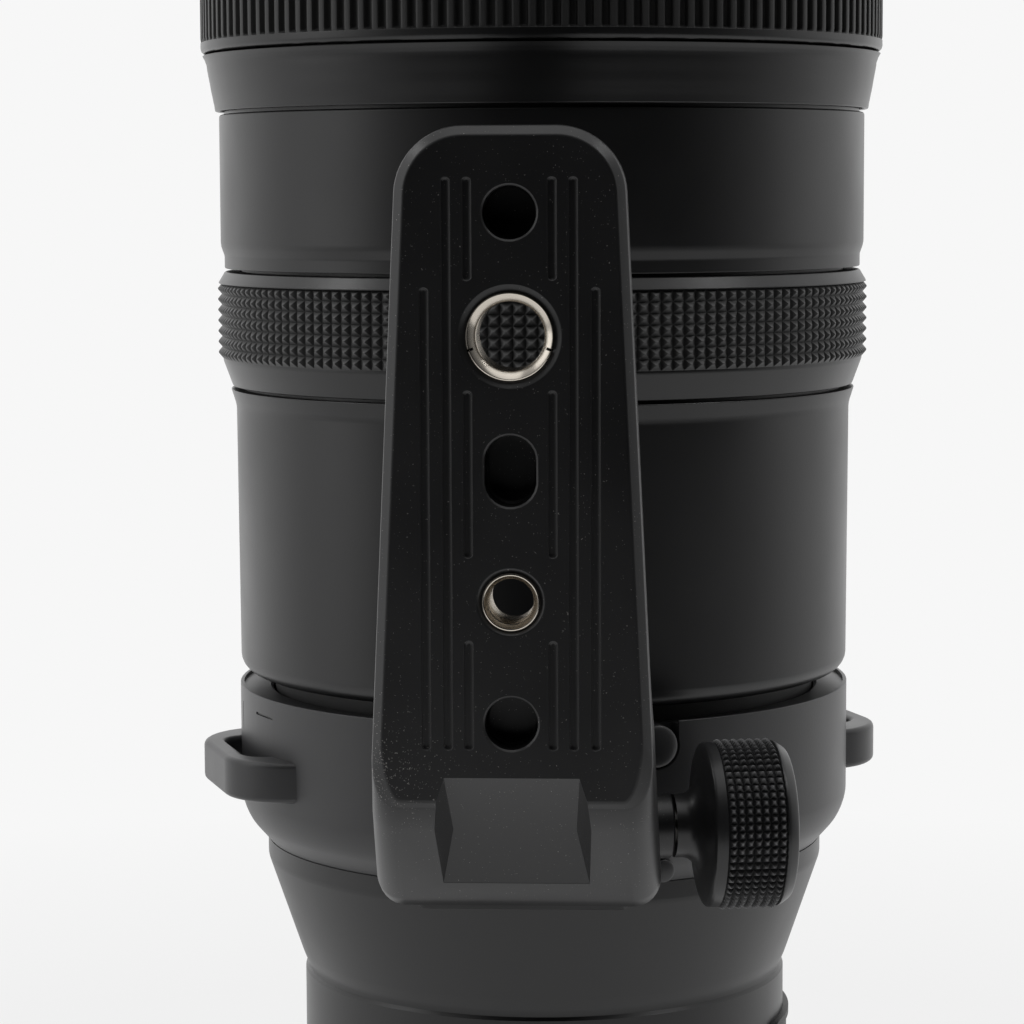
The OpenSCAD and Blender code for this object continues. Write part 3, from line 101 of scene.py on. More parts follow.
def makeFinish(name, colour, roughness, metallic=0.0, grain=900, bump=0.06, mottle=0.12):
    material, node, link, shader = newMaterial(name)
    place = node.new("ShaderNodeTexCoord")
    fine = noiseTexture(node, link, place, grain, 3)
    slow = noiseTexture(node, link, place, slowScale, 4)
    colours = twoTones(node, link, slow.outputs["Fac"], [c * (1 - mottle) for c in colour],
                       [min(c * (1 + mottle), 1) for c in colour])
    link.new(colours, shader.inputs["Base Color"])
    gloss = spread(node, link, slow.outputs["Fac"], 0.3, 0.7, roughness - 0.04, roughness + 0.05)
    link.new(gloss, shader.inputs["Roughness"])
    relief = node.new("ShaderNodeBump")
    relief.inputs["Strength"].default_value = bump
    relief.inputs["Distance"].default_value = reliefDepth
    link.new(fine.outputs["Fac"], relief.inputs["Height"])
    link.new(relief.outputs["Normal"], shader.inputs["Normal"])
    shader.inputs["Metallic"].default_value = metallic
    return material

finish = {name: makeFinish(name, **settings) for name, settings in finishes.items()}

def tint(material, mask, colour):
    # blends a second colour over the finish's own where the mask is 1
    node, link = material.node_tree.nodes, material.node_tree.links
    base = node["Principled BSDF"].inputs["Base Color"]
    blend = node.new("ShaderNodeMix")
    blend.data_type = "RGBA"
    link.new(mask, blend.inputs["Factor"])
    link.new(base.links[0].from_socket, blend.inputs[6])
    blend.inputs[7].default_value = (*colour, 1)
    link.new(blend.outputs[2], base)

# the foot's paint carries dust specks, most of them at its lower left corner as one looks at its face
footFinish = {"colour": (0.0125, 0.0125, 0.0132), "roughness": 0.36, "grain": 2200, "bump": 0.07,
              "speckScale": 4200, "speckLevel": 0.715, "speckColour": (0.26, 0.25, 0.24),
              "speckEdge": 0.03, "dustCentre": (-17.5, -92, 106), "dustReach": 12,
              "dustBoost": (0.063, -0.035)}

def makeFootPaint():
    f = footFinish
    material = makeFinish("footPaint", f["colour"], f["roughness"], grain=f["grain"], bump=f["bump"])
    node, link = material.node_tree.nodes, material.node_tree.links
    place = next(n for n in node if n.type == "TEX_COORD")
    specks = noiseTexture(node, link, place, f["speckScale"], 1)
    away = node.new("ShaderNodeVectorMath")
    away.operation = "DISTANCE"
    away.inputs[1].default_value = [c * mm for c in f["dustCentre"]]
    link.new(place.outputs["Object"], away.inputs[0])
    near = spread(node, link, away.outputs["Value"], 0.0, f["dustReach"] * mm, *f["dustBoost"])
    total = node.new("ShaderNodeMath")
    link.new(specks.outputs["Fac"], total.inputs[0])
    link.new(near, total.inputs[1])
    level = f["speckLevel"]
    specked = spread(node, link, total.outputs[0], level, level + f["speckEdge"], 0.0, 1.0)
    tint(material, specked, f["speckColour"])
    return material

finish["footPaint"] = makeFootPaint()

def wearAndGlintTips(kind, low, high, colour, place=None):
    # raised tips are painted lighter, partly as wear and partly as painted highlight (glints): the mask is
    # the distance from the ring's own axis
    material = finish[kind]
    node, link = material.node_tree.nodes, material.node_tree.links
    source = next(n for n in node if n.type == "TEX_COORD").outputs["Object"]
    if place:
        back = place.inverted()
        local = node.new("ShaderNodeMapping")
        local.inputs["Location"].default_value = back.to_translation()
        local.inputs["Rotation"].default_value = back.to_euler()
        link.new(source, local.inputs["Vector"])
        source = local.outputs["Vector"]
    flat = node.new("ShaderNodeVectorMath")
    flat.operation = "MULTIPLY"
    flat.inputs[1].default_value = (1, 1, 0)
    link.new(source, flat.inputs[0])
    reach = node.new("ShaderNodeVectorMath")
    reach.operation = "LENGTH"
    link.new(flat.outputs["Vector"], reach.inputs[0])
    tint(material, spread(node, link, reach.outputs["Value"], low * mm, high * mm, 0.0, 1.0), colour)

glassFinish = {"haze": ((0.90, 0.94, 0.97), (0.97, 0.99, 1.0)), "hazeScale": 60, "gloss": (0.0, 0.02),
               "mirror": 1.2, "coating": (0.45, 0.85, 0.60, 1)}

def makeCoatedGlass():
    g = glassFinish
    material, node, link, shader = newMaterial("coatedGlass")
    place = node.new("ShaderNodeTexCoord")
    haze = noiseTexture(node, link, place, g["hazeScale"], 3)
    colours = twoTones(node, link, haze.outputs["Fac"], *g["haze"])
    link.new(colours, shader.inputs["Base Color"])
    link.new(spread(node, link, haze.outputs["Fac"], 0.3, 0.7, *g["gloss"]), shader.inputs["Roughness"])
    shader.inputs["IOR"].default_value = g["mirror"]  # so that it mirrors as little as coated glass does
    shader.inputs["Transmission Weight"].default_value = 1.0
    shader.inputs["Specular Tint"].default_value = g["coating"]
    return material

finish["coatedGlass"] = makeCoatedGlass()
print("finishes made")

nodeFinish = {
    "barrelPaint": ("rear_barrel", "rear_cone", "barrel_b", "barrel_a", "taper_ring", "front_barrel",
                    "hood_bayonet"),
    "collarPaint": ("collar_ring", "strap_lug_left", "strap_lug_right"),
    "footPaint": ("foot",),
    "knobPaint": ("clamp_knob",),
    "gripRubber": ("focus_grip", "zoom_grip"),
    "ringPaint": ("focus_ring", "zoom_ring"),
    "nickel": ("large_insert", "small_insert"),
    "steel": ("mount_screws", "guide_rods", "focus_motor", "cam_tube", "foot_screws", "clamp_screw"),
    "mountMetal": ("mount_ring",),
    "gold": ("contact_pins", "cam_followers"),
    "sealRubber": ("mount_gasket", "collar_liner"),
    "boardGreen": ("circuit_board",),
    "whiteInk": ("mount_index",),
    "coatedGlass": ("rear_glass", "front_glass", "inner_glass", "zoom_glass", "focus_glass"),
    "darkPlastic": ("contact_block", "rear_baffle", "rear_cell", "switch_panel", "main_tube", "filter_ring",
                    "front_cell", "iris_unit", "rod_plate_rear", "rod_plate_front", "focus_mode_slider",
                    "focus_limit_slider", "zoom_cell", "focus_cell")}
for kind, names in nodeFinish.items():
    for name in names:
        nodes[name].data.materials.clear()
        nodes[name].data.materials.append(finish[kind])


def addPiece(name, bm, kind, body, replaced, smoothAngle=30, weighted=True):
    bmesh.ops.remove_doubles(bm, verts=bm.verts, dist=weld)
    bmesh.ops.recalc_face_normals(bm, faces=bm.faces)
    for face in bm.faces:
        face.smooth = True
    mesh = bpy.data.meshes.new(name)
    bm.to_mesh(mesh)
    bm.free()
    mesh.set_sharp_from_angle(angle=radians(smoothAngle))
    piece = bpy.data.objects.new(name, mesh)
    scene.collection.objects.link(piece)
    mesh.materials.append(finish[kind])
    if weighted:
        piece.modifiers.new("Weighted Normal", "WEIGHTED_NORMAL").keep_sharp = True
    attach(piece, body)
    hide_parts(*replaced)
    return piece

def turnProfile(profile, steps=192, closed=True, place=None):
    # (radius, height) or (radius, height, rounding) in millimetres;
    # an open profile starts and ends on the axis
    bm = bmesh.new()
    verts = [bm.verts.new((p[0] * mm, 0, p[1] * mm)) for p in profile]
    ends = verts[1:] + verts[:1] if closed else verts[1:]
    edges = [bm.edges.new(pair) for pair in zip(verts, ends)]
    bmesh.ops.spin(bm, geom=verts + edges, cent=(0, 0, 0), axis=(0, 0, 1), angle=2 * pi, steps=steps,
                   use_merge=True)
    bmesh.ops.remove_doubles(bm, verts=bm.verts, dist=weld)
    bmesh.ops.recalc_face_normals(bm, faces=bm.faces)
    for rounding in sorted({p[2] for p in profile if len(p) > 2 and p[2]}, reverse=True):
        corners = [p for p in profile if len(p) > 2 and p[2] == rounding]
        rims = [e for e in bm.edges if any(onRim(e.verts[0], c) and onRim(e.verts[1], c) for c in corners)]
        bevelEdges(bm, rims, rounding, 3 if rounding < 1 else 6)
    if place:
        bmesh.ops.transform(bm, matrix=place, verts=bm.verts)
    return bm

def onRim(vert, corner):
    return abs(vert.co.z - corner[1] * mm) < touch and abs(vert.co.xy.length - corner[0] * mm) < touch

def bevelEdges(bm, edges, offset, segments):
    bmesh.ops.bevel(bm, geom=edges, offset=offset * mm, offset_type="OFFSET", segments=segments, profile=0.5,
                    affect="EDGES", material=-1)

def vertsOf(geometry):
    return [g for g in geometry if isinstance(g, bmesh.types.BMVert)]

def plug(radius, low, high, steps, place=None):
    return turnProfile([(0, low), (radius, low), (radius, high), (0, high)], steps, False, place)

def drawOut(bm, steps):
    # the only face is extruded along +Z step by step:
    # (height, width share, length share) of its first outline
    face = next(iter(bm.faces))
    height, shares, inside = 0, (1, 1), []
    for rise, wide, long in steps:
        grown = bmesh.ops.extrude_face_region(bm, geom=[face])["geom"]
        if height:
            inside.append(face)
        face = next(g for g in grown if isinstance(g, bmesh.types.BMFace))
        bmesh.ops.scale(bm, vec=(wide / shares[0], long / shares[1], 1), verts=face.verts)
        bmesh.ops.translate(bm, vec=(0, 0, (rise - height) * mm), verts=face.verts)
        shares, height = (wide, long), rise
    bmesh.ops.delete(bm, geom=[f for f in inside if f.is_valid], context="FACES_ONLY")

def carve(base, joined, cut):
    # boolean unions and differences in turn, baked to a new mesh
    def held(part):
        mesh = bpy.data.meshes.new("helper")
        part.to_mesh(mesh)
        part.free()
        item = bpy.data.objects.new("helper", mesh)
        scene.collection.objects.link(item)
        return item
    main = held(base)
    helpers = [main]
    for kind, parts in (("UNION", joined), ("DIFFERENCE", cut)):
        for part in parts:
            bmesh.ops.recalc_face_normals(part, faces=part.faces)
            helpers.append(held(part))
            step = main.modifiers.new(kind, "BOOLEAN")
            step.operation = kind
            step.solver = "EXACT"
            step.object = helpers[-1]
    baked = bpy.data.meshes.new_from_object(main.evaluated_get(bpy.context.evaluated_depsgraph_get()))
    result = bmesh.new()
    result.from_mesh(baked)
    for item in helpers:
        bpy.data.objects.remove(item)
    bmesh.ops.remove_doubles(result, verts=result.verts, dist=2e-7)
    bmesh.ops.dissolve_degenerate(result, edges=result.edges, dist=weld)
    return result

def azimuth(degrees):
    return Matrix.Rotation(radians(degrees - 90), 4, "Z")

def box(size, centre, turn=None):
    # block of a size about a centre, in millimetres
    bm = bmesh.new()
    bmesh.ops.create_cube(bm, size=1)
    bmesh.ops.scale(bm, vec=[s * mm for s in size], verts=bm.verts)
    bmesh.ops.translate(bm, vec=[c * mm for c in centre], verts=bm.verts)
    if turn:
        bmesh.ops.transform(bm, matrix=turn, verts=bm.verts)
    return bm


# turned shells of the barrels

shells = {
    "barrelRear": {"body": "lens", "node": "barrel_b", "finish": "barrelPaint", "profile": [
        (46.3, 107.5), (49.7, 107.5, 2.8), (49.95, 150.9, 0.6), (50.8, 153.6, 0.22), (46.7, 153.6),
        (46.7, 150.9), (47.5, 148.2), (47.5, 109.7), (46.3, 109.7)]},
    "barrelFront": {"body": "lens", "node": "barrel_a", "finish": "barrelPaint", "profile": [
        (46.7, 153.6), (48.9, 153.6), (48.9, 173), (51.6, 173, 0.2), (51.6, 175, 0.22), (52.2, 176.7, 0.6),
        (52.2, 197.6, 0.45), (49.4, 197.6), (49.4, 177.4), (46.7, 175.2)]},
    "taperShell": {"body": "lens", "node": "taper_ring", "finish": "barrelPaint", "profile": [
        (51.4, 198.1), (52.8, 198.1, 0.2), (52.93, 199.07), (53.07, 199.68), (53.2, 200.39), (53.33, 201.0),
        (53.45, 201.62), (53.56, 202.32), (53.67, 202.94), (53.79, 203.56), (53.9, 204.17), (54.02, 204.88),
        (54.08, 205.49), (54.21, 205.8), (54.3, 206.11), (54.43, 206.42), (54.59, 206.68), (54.7, 206.9),
        (51.4, 206.9)]},
    "focusShell": {"body": "focus_grip_ring", "node": "focus_ring", "finish": "ringPaint", "profile": [
        (49.2, 154.1), (50.5, 154.1, 0.2), (52.0, 158.2, 0.25), (52.0, 158.6), (51.3, 158.6), (51.3, 170.6),
        (52.6, 170.6), (52.6, 170.75), (51.55, 172.5, 0.25), (49.2, 172.5)]},
    "zoomShell": {"body": "zoom_grip_ring", "node": "zoom_ring", "finish": "ringPaint", "profile": [
        (51.7, 207.2), (55, 207.2, 0.9), (55, 209, 0.08), (53, 209), (53, 274.4), (55, 274.4, 0.08),
        (55, 276.2, 0.9), (51.7, 276.2)]},
    "rearConeShell": {"body": "lens", "node": "rear_cone", "finish": "barrelPaint", "profile": [
        (37.5, 58), (39.2, 58), (39.2, 58.5), (39.95, 60.1, 1.2), (45.65, 76.8, 0.5), (45.65, 79.895),
        (44.05, 79.895), (44.05, 76.8), (37.5, 60.1)]}}
for name, part in shells.items():
    shell = turnProfile(part["profile"])
    addPiece(name, shell, part["finish"], part["body"], [part["node"]])
print("turned shells made")


# front, inner and rear glass, turned smooth with the sag of their faces

glasses = {
    "frontGlassTurned": {"node": "front_glass", "centre": 297, "edge": 4, "low": -0.6, "high": 5.2},
    "innerGlassTurned": {"node": "inner_glass", "centre": 281, "edge": 9, "low": 0, "high": 2.4},
    "rearGlassTurned": {"node": "rear_glass", "centre": 12.25, "edge": 6.5, "low": 0, "high": 1.625}}

def makeGlass(name, part, rings=20):
    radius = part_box(part["node"])[1].x / mm
    shares = [i / rings for i in range(rings + 1)]
    middle, half = part["centre"], part["edge"] / 2
    low = [(radius * t, middle - half - part["low"] * (1 - t * t)) for t in shares]
    high = [(radius * t, middle + half + part["high"] * (1 - t * t)) for t in reversed(shares)]
    addPiece(name, turnProfile(low + high, 96, False), "coatedGlass", "lens", [part["node"]])

for name, part in glasses.items():
    makeGlass(name, part)
print("glass made")


# zoom grip: each rib is flat on top, falls steeply on one side and slopes on the other

zoomGrip = {"ribs": 144, "core": 53.0, "top": 55.0, "groove": 0.9, "low": 209.0, "high": 274.4,
            "wornGlint": (54.5, 55.0, (0.026, 0.026, 0.026)), "edgeSink": 0.06,
            "section": (0.0, 0.0, 0.0, 0.12, 0.9, 1.0, 1.0, 1.0, 1.0, 0.94, 0.55, 0.12),
            "ends": ((0.0, 0.12), (0.08, 0.4), (0.3, 0.85), (0.6, 1.0))}

def makeZoomGrip():
    g = zoomGrip
    fine = len(g["section"])
    levels = {g["low"] + d: share for d, share in g["ends"]}
    levels |= {g["high"] - d: share for d, share in g["ends"]}
    heights = sorted(levels)
    bm = turnProfile([(g["core"], g["low"])] + [(g["top"], z) for z in heights] + [(g["core"], g["high"])],
                     steps=g["ribs"] * fine)
    for vert in bm.verts:
        if vert.co.xy.length < (g["core"] + g["top"]) / 2 * mm:
            continue
        level = levels[min(heights, key=lambda z: abs(z * mm - vert.co.z))]
        spot = round(atan2(vert.co.y, vert.co.x) / (2 * pi) * g["ribs"] * fine) % fine
        sink = g["edgeSink"] * (level < 1) + g["groove"] * level * (1 - g["section"][spot])
        vert.co.xy *= 1 - sink * mm / vert.co.xy.length
    addPiece("zoomGripRibs", bm, "gripRubber", "zoom_grip_ring", ["zoom_grip"], smoothAngle=40,
             weighted=False)

makeZoomGrip()
# the rib tops are painted lighter, partly as wear and partly as painted highlight
wearAndGlintTips("gripRubber", *zoomGrip["wornGlint"])


# rows of small pyramids on the focus grip and on the clamp knob

def raisePyramids(bm, low, high, radius, inset, rise):
    band = [f for f in bm.faces if low * mm < f.calc_center_median().z < high * mm
            and abs(f.verts[0].co.xy.length - radius * mm) < touch and abs(f.normal.z) < 0.1]
    bmesh.ops.inset_individual(bm, faces=band, thickness=inset * mm, depth=rise * mm, use_even_offset=True)

focusGrip = {"around": 176, "rows": 7, "core": 51.32, "valley": 52.1, "rise": 0.65, "inset": 0.78,
             "low": 158.62, "high": 170.58, "wornGlint": (52.35, 52.75, (0.09, 0.09, 0.09))}

def makeFocusGrip():
    g = focusGrip
    wall = [(g["valley"], g["low"] + (g["high"] - g["low"]) * i / g["rows"]) for i in range(g["rows"] + 1)]
    bm = turnProfile([(g["core"], g["low"])] + wall + [(g["core"], g["high"])], steps=g["around"])
    raisePyramids(bm, g["low"], g["high"], g["valley"], g["inset"], g["rise"])
    addPiece("focusGripTeeth", bm, "toothRubber", "focus_grip_ring", ["focus_grip"], smoothAngle=12,
             weighted=False)

makeFocusGrip()
# the pyramid tips are painted lighter, partly as wear and partly as painted highlight
wearAndGlintTips("toothRubber", *focusGrip["wornGlint"])

clampKnob = {"place": (21.5, -62, 93), "turn": 10, "around": 64, "rows": 7, "valley": 11.75, "rise": 0.66,
             "inset": 0.53, "wornGlint": (12.08, 12.4, (0.17, 0.17, 0.175)), "lip": 0.25,
             "gap": 0.35, "back": 6.6, "band": 8.4, "neck": 4.65, "bore": 2.6, "boreDepth": 6,
             "trumpet": ((0.12, 0.0), (0.22, 0.005), (0.30, 0.02), (0.38, 0.06), (0.45, 0.115), (0.50, 0.17),
                         (0.55, 0.25), (0.59, 0.34), (0.61, 0.44), (0.63, 0.55), (0.645, 0.67), (0.66, 0.78),
                         (0.675, 0.87), (0.69, 0.93), (0.715, 0.975), (0.75, 0.995), (0.78, 1.0),
                         (0.97, 1.0)),
             "end": ((11.95, 0.08), (12.05, 0.2), (12.02, 0.38), (11.85, 0.7), (11.55, 1.15), (11.3, 1.5),
                     (11.12, 1.72), (10.95, 1.86), (10.7, 1.95), (10.4, 1.97), (10.1, 1.9), (9.9, 1.7),
                     (9.6, 1.52), (5.0, 1.48), (0, 1.48))}
knobPlace = (Matrix.Translation(Vector(clampKnob["place"]) * mm)
             @ Matrix.Rotation(radians(clampKnob["turn"]), 4, "Z") @ Matrix.Rotation(radians(90), 4, "Y"))

def makeKnob():
    g = clampKnob
    lip = g["valley"] + g["lip"]
    front = g["back"] + g["band"]
    boreEnd = g["gap"] + g["boreDepth"]
    profile = [(0, boreEnd), (g["bore"], boreEnd), (g["bore"], g["gap"]), (g["neck"], g["gap"])]
    profile += [(g["neck"] + (lip - g["neck"]) * rise, g["gap"] + (g["back"] - g["gap"]) * share)
                for share, rise in g["trumpet"]]
    profile += [(g["valley"], g["back"] + g["band"] * i / g["rows"]) for i in range(g["rows"] + 1)]
    profile += [(r, front + h) for r, h in g["end"]]
    bm = turnProfile(profile, steps=g["around"], closed=False)
    raisePyramids(bm, g["back"], front, g["valley"], g["inset"], g["rise"])
    bmesh.ops.transform(bm, matrix=knobPlace, verts=bm.verts)
    addPiece("clampKnobTurned", bm, "knobPaint", "knob", ["clamp_knob"], smoothAngle=24,
             weighted=False)

makeKnob()
# the knob's pyramid tips are painted lighter, partly as wear and partly as painted highlight
wearAndGlintTips("knobPaint", *clampKnob["wornGlint"], knobPlace)
print("grips and knob made")


# threaded inserts of the foot, each a sleeve with a helical thread, the large one with two driver notches

footFace = 92.0

def facing(x, z):
    # local +Z points out of the foot's face
    return Matrix.Translation((x * mm, -footFace * mm, z * mm)) @ Matrix.Rotation(radians(90), 4, "X")

inserts = {
    "largeInsertThreaded": {"node": "large_insert", "height": 165.8, "outer": 6.1, "bore": 4.76,
                            "pitch": 1.5875, "notch": 0.4, "seat": 0.85},
    "smallInsertThreaded": {"node": "small_insert", "height": 129.7, "outer": 4.05, "bore": 3.175,
                            "pitch": 1.27, "notch": 0.0, "seat": 0.5}}
insertLength = 10.5
threadDepth = 0.14
notchTurn = 18

def threadRidge(bore, pitch, steps=48):
    bm = bmesh.new()
    start = -insertLength + 0.2
    root, crest = bore + 0.12, bore - threadDepth
    section = ((root, 0), (root, pitch * 0.86), (crest, pitch * 0.56), (crest, pitch * 0.30))
    verts = [bm.verts.new((r * mm, 0, (start + z) * mm)) for r, z in section]
    ridge = bm.faces.new(verts)
    turns = (insertLength - 1.5) / pitch - 0.86
    bmesh.ops.spin(bm, geom=[ridge] + list(ridge.edges) + list(ridge.verts), cent=(0, 0, 0), axis=(0, 0, 1),
                   angle=2 * pi * turns, dvec=(0, 0, pitch * mm / steps), steps=round(turns * steps),
                   use_merge=False)
    return bm

def makeInsert(name, part):
    out, bore = part["outer"], part["bore"]
    sleeve = turnProfile([(bore, -insertLength), (out, -insertLength), (out, -0.5), (out - 0.06, -0.26),
                          (out - 0.16, -0.12), (out - 0.28, -0.08), (out - 0.4, -0.13), (bore + 0.12, -0.86),
                          (bore, -1.0)], steps=96)
    if part["notch"]:
        cuts = [box((3, part["notch"], 1.1), (side * (out - 0.4), 0, 0),
                    Matrix.Rotation(radians(side * -notchTurn), 4, "Z")) for side in (-1, 1)]
        sleeve = carve(sleeve, [], cuts)
    place = facing(0, part["height"])
    bmesh.ops.transform(sleeve, matrix=place, verts=sleeve.verts)
    ridge = threadRidge(bore, part["pitch"])
    bmesh.ops.recalc_face_normals(ridge, faces=ridge.faces)
    bmesh.ops.transform(ridge, matrix=place, verts=ridge.verts)
    helper = bpy.data.meshes.new("helper")
    ridge.to_mesh(helper)
    ridge.free()
    sleeve.from_mesh(helper)
    bpy.data.meshes.remove(helper)
    addPiece(name, sleeve, "nickel", "collar", [part["node"]], smoothAngle=35, weighted=False)

for name, part in inserts.items():
    makeInsert(name, part)


# strap lugs: a flat handle with a long window, its rims well rounded

strapLug = {"azimuth": 69, "low": 90.0, "high": 96.5, "rounding": 0.9,
            "outer": ((46.5, 17.9), (55.6, 15), (55.6, -15), (46.5, -17.9)), "outerCorner": 8.2,
            "inner": ((46.5, 9.55), (52.2, 10.6), (52.2, -10.6), (46.5, -9.55)), "innerCorner": 4.6}

def makeLug(name, node, turn):
    g = strapLug
    bm = bmesh.new()
    for outline, corner in ((g["outer"], g["outerCorner"]), (g["inner"], g["innerCorner"])):
        verts = [bm.verts.new((x * mm, y * mm, g["low"] * mm)) for x, y in outline]
        for pair in zip(verts, verts[1:]):
            bm.edges.new(pair)
        bmesh.ops.bevel(bm, geom=verts[1:3], offset=corner * mm, offset_type="OFFSET", segments=12,
                        profile=0.5, affect="VERTICES", material=-1)
    bmesh.ops.bridge_loops(bm, edges=bm.edges)
    grown = bmesh.ops.extrude_face_region(bm, geom=list(bm.faces))["geom"]
    bmesh.ops.translate(bm, vec=(0, 0, (g["high"] - g["low"]) * mm), verts=vertsOf(grown))
    bmesh.ops.recalc_face_normals(bm, faces=bm.faces)
    rims = [e for e in bm.edges if len(e.link_faces) == 2 and e.calc_face_angle() > radians(60)
            and abs(e.verts[0].co.z - e.verts[1].co.z) < 1e-7 and max(v.co.x for v in e.verts) > 46.6 * mm]
    bevelEdges(bm, rims, g["rounding"], 4)
    bmesh.ops.transform(bm, matrix=Matrix.Rotation(radians(turn), 4, "Z"), verts=bm.verts)
    addPiece(name, bm, "collarPaint", "collar", [node], smoothAngle=40)

makeLug("strapLugLeftHandle", "strap_lug_left", -strapLug["azimuth"] - 90)
makeLug("strapLugRightHandle", "strap_lug_right", 90 - strapLug["azimuth"])
print("inserts and strap lugs made")


# tripod foot: a tapered plate with a heel, a column to the collar and a boss for the knob

foot = {"top": 194.2, "heelZ": 102.2, "halfTop": 15.3, "halfHeel": 19.6, "topCorner": 9.0, "heelCorner": 4.2,
        "side": ((0.0, 194.2), (0.0, 102.2), (2.4, 97.8), (14.0, 85.5), (19.5, 83.0), (19.5, 110.6),
                 (15.5, 112.8), (13.5, 114.4), (12.0, 116.2), (11.0, 118.4), (10.5, 121.0), (10.5, 194.2)),
        "rim": 1.35, "rimEase": 0.28, "backRim": 1.5,
        "column": 15.5, "columnRim": 1.1, "seat": (49.9, 70, 120),
        "columnSide": ((83, 121), (81.5, 121.0), (81.0, 118.4), (80.0, 116.2), (78.5, 114.4), (76.5, 112.8),
                       (72.5, 110.6), (58.9, 104.5), (44.4, 104.5), (44.4, 80.8), (64, 80.8), (72.5, 83.4),
                       (78, 85.9), (83, 91)),
        "boss": ((0, -9), (4.75, -9), (4.75, -0.3), (4.6, -0.08), (4.4, 0), (0, 0)),
        "bossBore": (2.55, -10, 1),
        "pins": (182.5, 113.0), "pinRadius": 3.62, "pinDepth": -5.05,
        "pinWall": ((-0.32, -4.95), (0, -4.6), (0.02, -0.24), (0.22, -0.05), (0.3, 0.001), (0.3, 1)),
        "slot": 147.6, "slotHalf": 4.9, "slotWidth": 7.1,
        "slotSteps": ((-5.0, -1.2), (-4.95, -0.4), (-4.6, -0.03), (-0.24, 0), (-0.05, 0.2), (0.001, 0.28),
                      (1, 0.28)),
        "grooves": ((11.6, 109.4, 172.4), (8.6, 109.4, 187.2), (5.75, 109.4, 124.4), (5.75, 135.8, 158.5),
                    (5.75, 173.4, 187.2)),
        "grooveWidth": 1.15,
        "grooveSteps": ((-0.42, -0.42), (-0.38, -0.2), (-0.25, 0.0), (-0.07, 0.04), (0.001, 0.11),
                        (0.5, 0.12)),
        "screwSide": 10, "screwHeights": (86.5, 99.0), "screwHole": (2, 40, 62.5),
        "scoop": ((9.3, -92, 105.5), (8.6, -84.2, 96.8), (10.3, -80.7, 88.4), (10.3, -94, 88.4),
                  (12.6, -94, 97.8), (9.3, -94, 106.5)),
        "scoopEase": 0.7}

def prismAcross(outline, halfWidth):
    # solid across X from a side outline of (distance from the axis, height)
    bm = bmesh.new()
    face = bm.faces.new([bm.verts.new((-halfWidth * mm, -y * mm, z * mm)) for y, z in outline])
    grown = bmesh.ops.extrude_face_region(bm, geom=[face])["geom"]
    bmesh.ops.translate(bm, vec=(2 * halfWidth * mm, 0, 0), verts=vertsOf(grown))
    bmesh.ops.recalc_face_normals(bm, faces=bm.faces)
    return bm

def makeFootPlate():
    g = foot
    bm = prismAcross([(footFace - d, z) for d, z in g["side"]], g["halfHeel"])
    slope = (g["halfTop"] - g["halfHeel"]) / (g["top"] - g["heelZ"])
    for vert in bm.verts:
        vert.co.x = copysign((g["halfHeel"] + slope * (vert.co.z / mm - g["heelZ"])) * mm, vert.co.x)
    def sharp(test, least=20):
        return [e for e in bm.edges
                if len(e.link_faces) == 2 and e.calc_face_angle() > radians(least) and test(e)]
    def depths(e):
        return [v.co.y / mm + footFace for v in e.verts]
    def topSide(e):
        return (all(abs(v.co.z - g["top"] * mm) < 1e-6 for v in e.verts)
                and abs(depths(e)[0] - depths(e)[1]) > 1)
    bevelEdges(bm, sharp(topSide), g["topCorner"], 16)
    def heelSide(e):
        low = [f for f in e.link_faces if abs(f.normal.x) < 0.1 and f.normal.z < -0.3]
        side = [f for f in e.link_faces if abs(f.normal.x) > 0.9]
        return low and side
    bevelEdges(bm, sharp(heelSide), g["heelCorner"], 8)
    bevelEdges(bm, sharp(lambda e: max(abs(d) for d in depths(e)) < 1e-3), g["rim"], 1)
    # the rim runs out at the heel, where the face meets the nose in a plain crease
    for vert in bm.verts:
        above = (vert.co.z / mm - g["heelZ"] - g["rim"]) / g["heelCorner"]
        if abs(vert.co.y / mm + footFace) < 1e-3 and above < 1:
            vert.co.z -= g["rim"] * (1 - max(above, 0)) * mm
    def rimEdge(e):
        return max(depths(e)) < g["rim"] + 0.4 and abs(depths(e)[0] - depths(e)[1]) < 0.3
    bevelEdges(bm, sharp(rimEdge, 12), g["rimEase"], 3)
    def backSide(e):
        back = [f for f in e.link_faces if f.normal.y > 0.4 and abs(f.normal.x) < 0.1]
        return len(back) == 1 and min(f.normal.y for f in e.link_faces) < 0.3 and min(depths(e)) > 10
    bevelEdges(bm, sharp(backSide, 40), g["backRim"], 4)
    return bm

def slotCutter(x, low, high, width, steps):
    # closed cutter under a slot with round ends: (height, share of the width) from the deepest step upwards
    bm = bmesh.new()
    bmesh.ops.create_circle(bm, cap_ends=True, segments=24, radius=width / 2 * mm)
    bmesh.ops.rotate(bm, cent=(0, 0, 0), matrix=Matrix.Rotation(radians(7.5), 3, "Z"), verts=bm.verts)
    half = (high - low - width) / 2
    for vert in bm.verts:
        vert.co.y += copysign(half * mm, vert.co.y)
    total = high - low
    def shares(grow):
        return 1 + 2 * grow / width, 1 + 2 * grow / total
    depth, grow = steps[0]
    bmesh.ops.scale(bm, vec=(*shares(grow), 1), verts=bm.verts)
    bmesh.ops.translate(bm, vec=(0, 0, depth * mm), verts=bm.verts)
    first = shares(grow)
    drawOut(bm, [(d - depth, shares(s)[0] / first[0], shares(s)[1] / first[1]) for d, s in steps[1:]])
    bmesh.ops.transform(bm, matrix=facing(x, (low + high) / 2), verts=bm.verts)
    return bm

